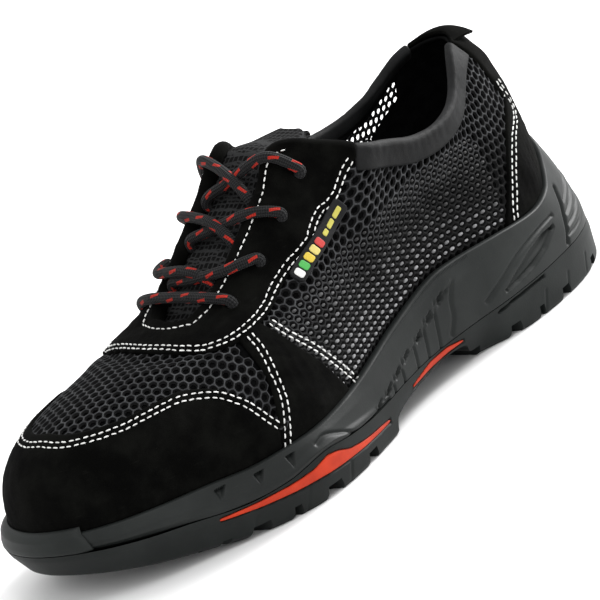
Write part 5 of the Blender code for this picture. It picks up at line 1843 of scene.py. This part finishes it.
def groove_shape():
    """Chevron grooves across the tread."""
    points, faces = [], []
    reach = BALL_WIDTH * 0.6
    sweep = reach * GROOVE_SWEEP
    for station, share in GROOVES:
        x = station * SHOE_LENGTH
        a = len(points)
        for z, flare in ((-GROOVE_DEPTH, 1.6), (GROOVE_DEPTH, 1.0)):
            half = share * RIB_GROOVE_WIDTH / 2 * flare
            points.extend([
                (x - half, 0.0, z), (x - sweep - half, reach, z), (x - sweep + half, reach, z),
                (x + half, 0.0, z), (x - sweep + half, -reach, z), (x - sweep - half, -reach, z),
            ])
        faces.extend([(a, a + 1, a + 2, a + 3), (a + 3, a + 4, a + 5, a)])
        faces.extend([(a + 9, a + 8, a + 7, a + 6), (a + 6, a + 11, a + 10, a + 9)])
        faces.extend((a + k, a + 6 + k, a + 6 + (k + 1) % 6, a + (k + 1) % 6) for k in range(6))
    return points, faces


for label, shape in (("arch", arch_shape()), ("grooves", groove_shape())):
    cutter = make_mesh(label, *shape)
    mod = outsole.modifiers.new("cut", "BOOLEAN")
    mod.operation = "DIFFERENCE"
    mod.solver = "EXACT"
    mod.object = cutter
    graph = bpy.context.evaluated_depsgraph_get()
    cut_mesh = bpy.data.meshes.new_from_object(outsole.evaluated_get(graph))
    outsole.modifiers.clear()
    outsole.data = cut_mesh
    bpy.data.objects.remove(cutter)
keep(outsole, "outsole", ("outsole",))
outsole.data.set_sharp_from_angle(angle=math.radians(35))
print("sole faces:", len(midsole.data.polygons), len(outsole.data.polygons))

# Coloured strips, set a little below the wall, with rounded edges
plain_body = wall(rings, 30, lambda x, z: 0.0)
half = WALL_COLUMNS // 2
ORDER = {1: np.arange(3, half - 3), -1: np.arange(WALL_COLUMNS - 3, half + 3, -1)}


def strip(name, table, side):
    cols, rows = 150, 14
    xs, lows, highs = strip_edges(table)
    line = np.linspace(xs[0], xs[-1], cols)
    low, high = (np.convolve(np.pad(np.interp(line, xs, edge), 2, mode="edge"), np.ones(5) / 5, "valid")
                 for edge in (lows, highs))
    ends = rounded(np.minimum(line - xs[0], xs[-1] - line), 0.002, 0.03)
    mid = (low + high) / 2
    low = mid + (low - mid) * ends
    high = mid + (high - mid) * ends
    t = ends_close(rows, 0.7)
    Zs = low[:, None] * (1 - t) + high[:, None] * t
    grid = plain_body[ORDER[side]]
    outer = np.zeros((cols, rows, 3))
    for i, x in enumerate(line):
        near = int(np.clip(np.searchsorted(grid[:, 15, 0], x), 1, len(grid) - 1))
        for j, z in enumerate(Zs[i]):
            a, b = (np.array([np.interp(z, column[:, 2], column[:, k]) for k in (0, 1)])
                    for column in (grid[near - 1], grid[near]))
            f = np.clip((x - a[0]) / max(b[0] - a[0], 1e-9), 0, 1)
            outer[i, j] = (*(a * (1 - f) + b * f), z)
    crown = rounded(np.minimum(Zs - low[:, None], high[:, None] - Zs), 0.0007)
    push = np.array([0.0, float(side), 0.0])
    face_out = outer + push * (crown[..., None] * 0.00045 - 0.00065)
    inner = outer - push * 0.0011
    keep(shell(name, face_out, inner), "insert", (name,))


for side, label in SIDES:
    strip("forefoot_insert_" + label, FOREFOOT_INSERT, side)
    strip("arch_insert_" + label, ARCH_INSERT, side)

# Toe bumper: the guard over the sole's toe, thinning to its slanted ends
BUMPER_SLANT = 0.14
us = np.linspace(BUMPER_SPAN[0], BUMPER_SPAN[1], 150)
insets, heights = finer(midsole_rings(), 30)
layer = []
for k in range(30):
    spot = PLAN - PLAN_N * insets[:, k:k + 1]
    at = HALF + (us - HALF) * (1 - BUMPER_SLANT * (k / 34)**1.5)
    layer.append(columns_at(at, WALL_U, np.column_stack([spot, heights[:, k]])))
guard = np.stack(layer, axis=1)
normal = np.pad(columns_at(us, WALL_U, PLAN_N), ((0, 0), (0, 1)))
top_u = HALF + (us - HALF) * (1 - BUMPER_SLANT)
v_top = v_high(top_u, guard[:, -1, 2] + BUMPER_RISE)
crest = lay(top_u, v_top, CLEARANCE * 2 + OVERLAY_THICKNESS + BUMPER_THICKNESS)
crest_in = lay(top_u, v_top, CLEARANCE * 2 + OVERLAY_THICKNESS + CLEARANCE)
skins = []
for top, lift in ((crest, CLEARANCE + BUMPER_THICKNESS), (crest_in, CLEARANCE)):
    side = guard + normal[:, None] * lift
    rise = [side[:, -1] * (1 - q) + top * q for q in (0.25, 0.5, 0.75, 1.0)]
    skins.append(np.concatenate([side, np.stack(rise, axis=1)], axis=1))
outer, inner = skins
row = np.linspace(0, 1, outer.shape[1])
end_gap = np.minimum(us - us[0], us[-1] - us) * 0.016
slant = np.clip((end_gap[:, None] - 0.001 * row[None]) / 0.0035 + 0.1, 0.0, 1.0)
soft = np.sqrt(np.clip(1 - (1 - slant)**2, 0, 1))
top_soft = np.sqrt(np.clip(1 - np.clip((row - 0.93) / 0.07, 0, 1)**2, 0.1, 1))
amount = np.clip(soft * top_soft[None], 0.06, 1.0)[..., None]
keep(shell("toe_bumper", inner + (outer - inner) * amount, inner), "bumper", ("toe_bumper",))

# Fine ribs along the lip, from the toe's side to the waist
rod = bpy.data.meshes.new("rib")
bm = bmesh.new()
bmesh.ops.create_uvsphere(bm, u_segments=6, v_segments=4, radius=1.0)
for v in bm.verts:
    v.co = Vector((v.co.x * 0.00028, v.co.y * 0.00028, v.co.z * 0.0011))
bm.to_mesh(rod)
bm.free()
rod_piece = add("rib", rod)
rib_u = even_places(940)
fold = folded(rib_u)
rib_u = rib_u[(fold > 4.2) & (fold < 14.2)]
mid = lay(rib_u, lip_v(rib_u, -0.0012), CLEARANCE + LIP_THICKNESS + 0.00005)
ups = np.repeat(np.array([[0.0, 0.0, 1.0]]), len(rib_u), axis=0)
outs = np.array([[*plan_normal(rib_values(u)[0]), 0.0] for u in rib_u])
ribs = scatter("lip_ribs", mid - ORIGIN, rod_piece, "midsole", outs, ups, 0.05, 3)
keep(ribs, "midsole")
bpy.data.objects.remove(rod_piece)
print("lip ribs:", len(rib_u))


# %% [markdown]
# ## Tongue, insole, laces and tag
#
# The tongue keeps the CAD sections and gains a soft crown and a rolled top. The laces run
# the CAD's own routes and dive through dark holes in the eyestay.

# %%
def tongue_rows():
    """Cross sections from under the vamp to the free top, as in the CAD piece."""
    under = -(UPPER_WALL + TONGUE_DROP)
    lap = EYESTAY_WIDTH * 0.32
    start = RIB_INDEX["band_front"]
    fan = [start, start + 1.0, start + 2.2, float(HALF)]
    fan = fan + [TURN - u for u in fan[-2::-1]]
    sections = [[on_upper(u, v_from_top(u, lap), under - TONGUE_DROP) for u in fan]]
    for back in (0.4, 1.0, 1.5, 2.0, 2.5, 3.0, 3.5, 4.0):
        u = start - back
        rise = TONGUE_CROWN * min(1.0, max(0.0, back - 0.4))
        left = [on_upper(u, v_from_top(u, lap), under), on_upper(u, 1.0, under)]
        right = [on_upper(TURN - u, 1.0, under), on_upper(TURN - u, v_from_top(TURN - u, lap), under)]
        middle = []
        for share in (0.25, 0.50, 0.75):
            crown = 4 * share * (1 - share) * rise
            middle.append(left[1] * (1 - share) + right[0] * share + np.array([0, 0, crown]))
        sections.append(left + middle + right)
    last = sections[-1]
    for reach, narrow in ((0.5, 0.90), (0.9, 0.80), (1.0, 0.66)):
        moved = [last[3] + (p - last[3]) * narrow for p in last]
        sections.append([q + np.array([-TONGUE_FREE, 0.0, -TONGUE_FREE * 0.10]) * reach for q in moved])
    return np.array(sections)


TONGUE_EDGE = 0.0016
rows = tongue_rows()
across = np.stack([smooth_line(section, 61) for section in rows])
full = np.stack([smooth_line(across[:, k], 150) for k in range(61)], axis=1)
down_run = edge_distance(full)[3]
tip = np.clip(down_run[:, 30] / 0.009, 0.0, 1.0)
spread = np.sqrt(np.clip(1 - 0.8 * (1 - tip)**2, 0.0, 1.0))[:, None, None]
full = full[:, 30:31] + (full - full[:, 30:31]) * spread
dv = np.gradient(full, axis=0)
du = np.gradient(full, axis=1)
n = unit(np.cross(dv, du))
n = n * np.sign(n[..., 2:3] + 1e-9)
for _ in range(12):
    n[1:-1] = (n[:-2] + n[1:-1] * 2 + n[2:]) / 4
    n[:, 1:-1] = (n[:, :-2] + n[:, 1:-1] * 2 + n[:, 2:]) / 4
n = unit(n)
gaps = edge_distance(full)
near = np.minimum.reduce(gaps)
roll = np.exp(-(gaps[3] / 0.004)**2) * 0.0006
middle = full - n * (TONGUE_THICKNESS / 2)
half = TONGUE_THICKNESS / 2 * np.maximum(rounded(near, TONGUE_EDGE), 0.12)
swell = (0.0003 * soft_noise(full, 0.02, 71) + roll) * np.clip(near / TONGUE_EDGE, 0, 1)
tongue = shell("tongue", middle + n * (half + swell)[..., None], middle - n * half[..., None])
keep(tongue, "tongue", ("tongue",))

# Insole: a woven cover, a little dished at the heel
us = np.linspace(0.0, TURN, 360, endpoint=False)
edge = lay(us, 0.0, -UPPER_WALL - CLEARANCE)
base_z = np.array([BED.at(p[0] / SHOE_LENGTH) for p in edge]) + CLEARANCE * 2
top_v = v_high(us, edge[:, 2] + INSOLE_THICKNESS)
top = lay(us, top_v, -UPPER_WALL - CLEARANCE * 2)
cols = []
for q in np.linspace(0.0, 1.0, 6):
    ring = edge * (1 - q) + top * q
    ring[:, 2] = base_z + (INSOLE_THICKNESS - 0.0005 * (q > 0.9)) * q
    cols.append(ring)
rows_in = []
for i in range(len(us)):
    j = (len(us) - i) % len(us)
    mid = (top[i] + top[j]) / 2
    line = []
    for q in (0.03, 0.08, 0.2, 0.45, 0.8):
        p = top[i] * (1 - q) + mid * q
        p[2] = base_z[i] + INSOLE_THICKNESS - 0.0006 * min(1.0, q * 3)
        line.append(p)
    rows_in.append(line)
columns = np.concatenate([np.stack(cols, axis=1), np.array(rows_in)], axis=1)
insole = make_mesh("insole", *close_across(columns))
keep(insole, "insole", ("insole",))


def cord_mesh(name, route, radius=LACE_RADIUS, sides=20, step=0.0006, wobble=0.00015, seed=1):
    """Round cord along a route, with lengthwise coordinates for its braid."""
    line, ways = even(smooth_line(route, 400), step)
    up = np.array([0.0, 0.0, 1.0])
    run = np.arange(len(line)) * step
    side = np.cross(up, ways)
    side = side / np.maximum(np.linalg.norm(side, axis=1, keepdims=True), 1e-9)
    for k in range(1, len(side)):
        flat = side[k - 1] - ways[k] * float(side[k - 1] @ ways[k])
        side[k] = flat / np.linalg.norm(flat)
    over = np.cross(ways, side)
    jog = soft_noise(line, 0.012, seed)[:, None] * wobble
    line = line + over * jog
    girth = radius * rounded(np.minimum(run, run[-1] - run), radius, 0.03)
    angle = np.linspace(0, 2 * math.pi, sides + 1)
    ring = (side[:, None] * np.cos(angle)[None, :, None] + over[:, None] * np.sin(angle)[None, :, None])
    skin = line[:, None] + ring * girth[:, None, None]
    uvs = np.stack(np.broadcast_arrays(np.linspace(0, 1, sides + 1)[None], run[:, None]), axis=2)
    faces = grid_faces(len(line), sides + 1).tolist()
    return make_mesh(name, skin.reshape(-1, 3), faces, uvs.reshape(-1, 2))


LACE_LIFT = CLEARANCE + OVERLAY_THICKNESS + CLEARANCE * 3 + LACE_RADIUS
LACE_LEAN = 0.40
LACE_TUCK = 0.0045
HOLES = []


def stay_point(u, down, lift):
    """Point over the upper at a distance down from its top edge."""
    return lay([u], v_down([u], down), lift)[0]


def dive(u, setback):
    """Three points that take a lace down through its eyelet."""
    HOLES.append((u, setback))
    return [stay_point(u, setback + 0.0012, -0.0030), stay_point(u, setback + 0.0008, 0.0012),
            stay_point(u, setback - 0.0012, LACE_LIFT * 0.92)]


def cross_run(row, side):
    u, share, slip = EYELETS[row]
    setback = share * EYESTAY_WIDTH
    here = u if side > 0 else TURN - u
    start = dive(here, setback)
    near = u + LACE_LEAN
    edge = stay_point(near if side > 0 else TURN - near, 0.0, LACE_LIFT)
    low = u + slip
    far_u = TURN - low if side > 0 else low
    far = stay_point(far_u, 0.0, 0.0)
    cross = u + (LACE_LEAN + slip) / 2
    mid = (stay_point(cross, 0.0, LACE_LIFT) + stay_point(TURN - cross, 0.0, LACE_LIFT)) / 2
    if side < 0:
        mid = mid + np.array([0.0, 0.0, LACE_RADIUS * 1.15])
    else:
        mid = mid - np.array([0.0, 0.0, LACE_RADIUS * 0.55])
    inward = np.array([0.0, -1.0 if far[1] > 0 else 1.0, 0.0])
    end = far + inward * LACE_TUCK + np.array([0.0, 0.0, LACE_RADIUS * 0.9])
    tail = far + inward * LACE_TUCK * 0.75 - np.array([0.0, 0.0, LACE_RADIUS * 1.6])
    return start + [edge, mid, end, tail]


u, share, slip = EYELETS[0]
setback = share * EYESTAY_WIDTH
left = dive(u, setback)
right = dive(TURN - u, setback)
near = stay_point(u, 0.0, LACE_LIFT)
far = stay_point(TURN - u, 0.0, LACE_LIFT)
bar = cord_mesh("lace_bar", left + [near, (near + far) / 2 + np.array([0, 0, 0.0004]), far] + right[::-1], seed=5)
keep(bar, "lace", ("lace_bar",))
for row in (1, 2, 3):
    outer = cord_mesh(f"lace_cross_{row}", cross_run(row, 1), seed=row * 2)
    inner = cord_mesh(f"lace_over_{row}", cross_run(row, -1), seed=row * 2 + 1)
    keep(outer, "lace", (f"lace_cross_{row}",))
    keep(inner, "lace")

# Dark pressed rings round the eyelets, where the lace pushes the suede in
for k, (u, setback) in enumerate(HOLES):
    centre = stay_point(u, setback, 0.0)
    out = stay_point(u, setback, MM) - centre
    out = out / np.linalg.norm(out)
    side = np.cross(out, np.array([0.0, 0.0, 1.0]))
    side = side / np.linalg.norm(side)
    over = np.cross(out, side)
    angle = np.linspace(0, 2 * math.pi, 36, endpoint=False)
    rings = []
    for r, h in ((3.6, 1.75), (3.2, 2.35), (2.7, 2.5), (2.2, 2.2), (1.8, 1.5)):
        ring = side * np.cos(angle)[:, None] + over * np.sin(angle)[:, None]
        rings.append(centre + ring * r * MM + out * h * MM)
    grid = np.stack(rings, axis=1)
    item = make_mesh(f"eyelet_{k + 1}", grid.reshape(-1, 3), grid_faces(36, 5, 0, True).tolist())
    keep(item, "suede")

# Side tag: a soft label with rounded edges, five coloured squares and plain bars
# Ends of the tag: place in ribs, mm down from the throat. Between them it lies straight.
TAG_ENDS = [(10.10, 24.4), (7.42, 21.6)]
ends = [stay_point(u, d * MM, 0.0) for u, d in TAG_ENDS]
chord = [ends[0] * (1 - q) + ends[1] * q for q in np.linspace(0.0, 1.0, 140)]
found = [tree.find_nearest(Vector(p)) for p in chord]
spots = np.array([hit[0] for hit in found])
outs = np.array([np.array(hit[1]) * (1 if hit[1][1] > 0 else -1) for hit in found])
for rows in (spots, outs):
    for _ in range(40):
        rows[1:-1] = (rows[:-2] + rows[1:-1] * 2 + rows[2:]) / 4
outs = unit(outs)
along = spots[-1] - spots[0]
along = along / np.linalg.norm(along)
sides = unit(np.cross(outs, along))
TAG_BASE = 0.0021
PRINT_BASE = TAG_BASE + 0.0007
BAR_INK = (0.42, 0.38, 0.05)


def tag_patch(name, s0, s1, w0, w1, base, thick, cols, rows, corner, ink=None):
    """Rounded piece on the tag: s along its length, w across its width, both from 0 to 1."""
    s = np.linspace(s0, s1, cols)
    w = ends_close(rows, 0.8) * (w1 - w0) + w0
    index = s * (len(spots) - 1)
    centre, out, side = (columns_at(index, np.arange(len(spots)), rows) for rows in (spots, outs, sides))
    length = np.linalg.norm(centre[-1] - centre[0])
    gap_s = np.minimum(s - s0, s1 - s) / (s1 - s0) * length
    trim = 1 - np.clip(1 - gap_s / corner, 0, 1)**2 * min(1.0, 2 * corner / ((w1 - w0) * TAG_WIDTH))
    spread = ((w - (w0 + w1) / 2)[None] * trim[:, None] + (w0 + w1) / 2 - 0.5) * TAG_WIDTH
    flat = centre[:, None] + side[:, None] * spread[..., None]
    gap_w = np.minimum(w - w0, w1 - w)[None] * TAG_WIDTH
    near = np.minimum(gap_w, gap_s[:, None])
    rise = thick * rounded(near, min(0.0006, thick), 0.05)
    item = shell(name, flat + out[:, None] * (base + rise)[..., None], flat + out[:, None] * base)
    if ink:
        layer = item.data.color_attributes.new(name="ink", type="FLOAT_COLOR", domain="POINT")
        values = np.tile(np.array([*ink, 1.0], np.float32), len(item.data.vertices))
        layer.data.foreach_set("color", values)
    return item


label = tag_patch("side_tag", 0.0, 1.0, 0.0, 1.0, TAG_BASE, TAG_THICKNESS * 0.8, 120, 20, 0.0014)
keep(label, "tag", ("side_tag",))
INKS = [(0.62, 0.62, 0.60), (0.04, 0.32, 0.05), (0.55, 0.40, 0.02), (0.55, 0.45, 0.12), (0.42, 0.02, 0.015)]
for k, ink in enumerate(INKS):
    s0 = 0.035 + k * 0.098
    item = tag_patch(f"tag_square_{k + 1}", s0, s0 + 0.082, 0.18, 0.80, PRINT_BASE, 0.0004, 14, 12, 0.0008, ink)
    keep(item, "tag", material="tag_print")
for k, (s0, s1) in enumerate(((0.56, 0.64), (0.66, 0.78), (0.80, 0.94))):
    item = tag_patch(f"tag_bar_{k + 1}", s0, s1, 0.34, 0.66, PRINT_BASE, 0.0003, 14, 8, 0.0006, BAR_INK)
    keep(item, "tag", material="tag_print")

# %% [markdown]
# ## Threads and the pale bumps of the knit
#
# The same tree that set the cells sets a small thread on every stitch, turned along its
# seam, and a soft bump in the holes of the lower quarter.

# %%
def small_ball(name, size, stitched=False, stacks=5):
    """Low ball stretched to a size. A stitched one has full ends and arches up."""
    mesh = bpy.data.meshes.new(name)
    bm = bmesh.new()
    bmesh.ops.create_uvsphere(bm, u_segments=8, v_segments=stacks, radius=1.0)
    bmesh.ops.rotate(bm, verts=bm.verts, matrix=Matrix.Rotation(math.pi / 2, 3, "Y"))
    for v in bm.verts:
        x = math.copysign(abs(v.co.x)**0.55, v.co.x) if stitched else v.co.x
        bend = (1 - x * x) * 0.35 if stitched else 0.0
        v.co = Vector((x * size[0], v.co.y * size[1], (v.co.z + bend) * size[2]))
    bm.to_mesh(mesh)
    bm.free()
    return add(name, mesh)


SEWN = ("toe_cap", "eyestay", "side_band_outer", "side_band_inner", "heel_counter", "heel_pull_tab")
stitch = small_ball("stitch", (STITCH_LENGTH / 2, THREAD_RADIUS, THREAD_RADIUS), True)
rng = np.random.default_rng(12)
spots, ways, outs = [], [], []
for line, out in SEAMS:
    run = run_along(line)
    at = np.arange(STITCH_PITCH / 2, run[-1], STITCH_PITCH)
    at = at + rng.normal(0, 0.00012, len(at))
    p, q = (columns_at(places, run, line) for places in (at, at + 0.0005))
    o = columns_at(at, run, out)
    w = q - p + rng.normal(0, 0.00004, p.shape)
    spots.append(p - o * 0.00008)
    ways.append(w / np.maximum(np.linalg.norm(w, axis=1, keepdims=True), 1e-9))
    outs.append(o)
spots = np.concatenate(spots) - ORIGIN
skin = bmesh.new()
for name in SEWN:
    skin.from_mesh(KEPT[name].data)
skin_tree = BVHTree.FromBMesh(skin)
skin.free()
settled = 0
for k, (spot, out) in enumerate(zip(spots, np.concatenate(outs))):
    out = out / np.linalg.norm(out)
    hit = skin_tree.ray_cast(Vector(spot + out * 0.0025), Vector(-out), 0.0045)[0]
    if hit is not None:
        spots[k] = np.array(hit) + out * THREAD_RADIUS * 0.35
        settled += 1
print("stitches set on the suede:", settled)
threads = scatter("stitches", spots, stitch, "thread", np.concatenate(ways), np.concatenate(outs), 0.08, 4)
keep(threads, "suede", material="thread")
print("stitches:", len(spots), "faces:", len(threads.data.polygons))

bump = small_ball("bump", (0.00118, 0.00066, 0.00055), stacks=4)
for label, (points, ups, pale) in zip(("outer", "inner"), BUMPS):
    along = unit(np.array([[1.0, 0.0, 0.0]]) - ups * ups[:, 0:1])
    item = scatter("knit_bumps_" + label, points - ORIGIN, bump, "bumps", along, ups, 0.15, 9, pale=pale)
    keep(item, "knit", material="bumps")
for piece in (bump, stitch, CELL_PIECE):
    bpy.data.objects.remove(piece)


# %% [markdown]
# ## Floor, light and camera
#
# A plain pale floor and soft light from large lamps. The camera keeps the photo's angle,
# rolled as the photo shows it.

# %%
floor_mesh = bpy.data.meshes.new("floor")
floor_mesh.from_pydata([(-4, -4, 0), (4, -4, 0), (4, 4, 0), (-4, 4, 0)], [], [(0, 1, 2, 3)])
floor = add("floor", floor_mesh)
plain("floor", (0.86, 0.86, 0.86), (0.90, 0.90, 0.90), 3.0, 400.0, 60.0, 0.00002, 0.8)
floor.data.materials.append(MATS["floor"])

world = bpy.data.worlds.new("studio")
bpy.context.scene.world = world
world.use_nodes = True
sky = world.node_tree.nodes["Background"]
sky.inputs["Color"].default_value = (1.0, 1.0, 1.0, 1.0)
sky.inputs["Strength"].default_value = 0.95

# Lamps: name, place, size, power
LAMPS = [
    ("key", (0.35, 0.8, 1.5), 0.7, 8.0),
    ("low", (0.25, 1.5, 0.22), 1.2, 5.0),
    ("rear", (-1.3, 0.1, 0.7), 0.5, 34.0),
    ("front", (1.3, 0.2, 0.8), 0.8, 1.6),
    ("top", (0.0, -0.4, 1.6), 1.0, 5.0),
]
AIM = Vector((0.08, 0.0, 0.04))
for name, where, size, power in LAMPS:
    lamp = bpy.data.lights.new(name, "AREA")
    lamp.size = size
    lamp.energy = power
    item = add(name, lamp)
    item.location = where
    item.rotation_euler = (AIM - Vector(where)).to_track_quat("-Z", "Y").to_euler()

CAM_AZIMUTH = 40.948
CAM_ELEVATION = 18.041
CAM_ROLL = -20.358
CAM_DISTANCE = 2.0531
CAM_FOCAL_PX = 5557.7
CAM_TARGET = (0.1408 - ORIGIN_X, 0.0, 0.0465)
IMAGE_PX = 600
SENSOR_MM = 36.0

a, e, r = (math.radians(q) for q in (CAM_AZIMUTH, CAM_ELEVATION, CAM_ROLL))
back = Vector((math.sin(a) * math.cos(e), math.cos(a) * math.cos(e), math.sin(e)))
right = (-back).cross(Vector((0, 0, 1))).normalized()
up = right.cross(-back).normalized()
across = right * math.cos(r) + up * math.sin(r)
above = up * math.cos(r) - right * math.sin(r)
camera = bpy.data.objects.new("camera", bpy.data.cameras.new("camera"))
camera.data.lens = CAM_FOCAL_PX / IMAGE_PX * SENSOR_MM
camera.data.sensor_width = SENSOR_MM
place = Vector(CAM_TARGET) + back * CAM_DISTANCE
turn = Matrix((across, above, back)).transposed().to_4x4()
camera.matrix_world = Matrix.Translation(place) @ turn
bpy.context.scene.collection.objects.link(camera)
bpy.context.scene.camera = camera
bpy.context.scene.view_settings.view_transform = "Standard"

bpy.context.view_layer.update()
total = sum(len(o.data.polygons) for o in bpy.data.objects if o.type == "MESH" and not o.hide_render)
print("faces shown:", total)
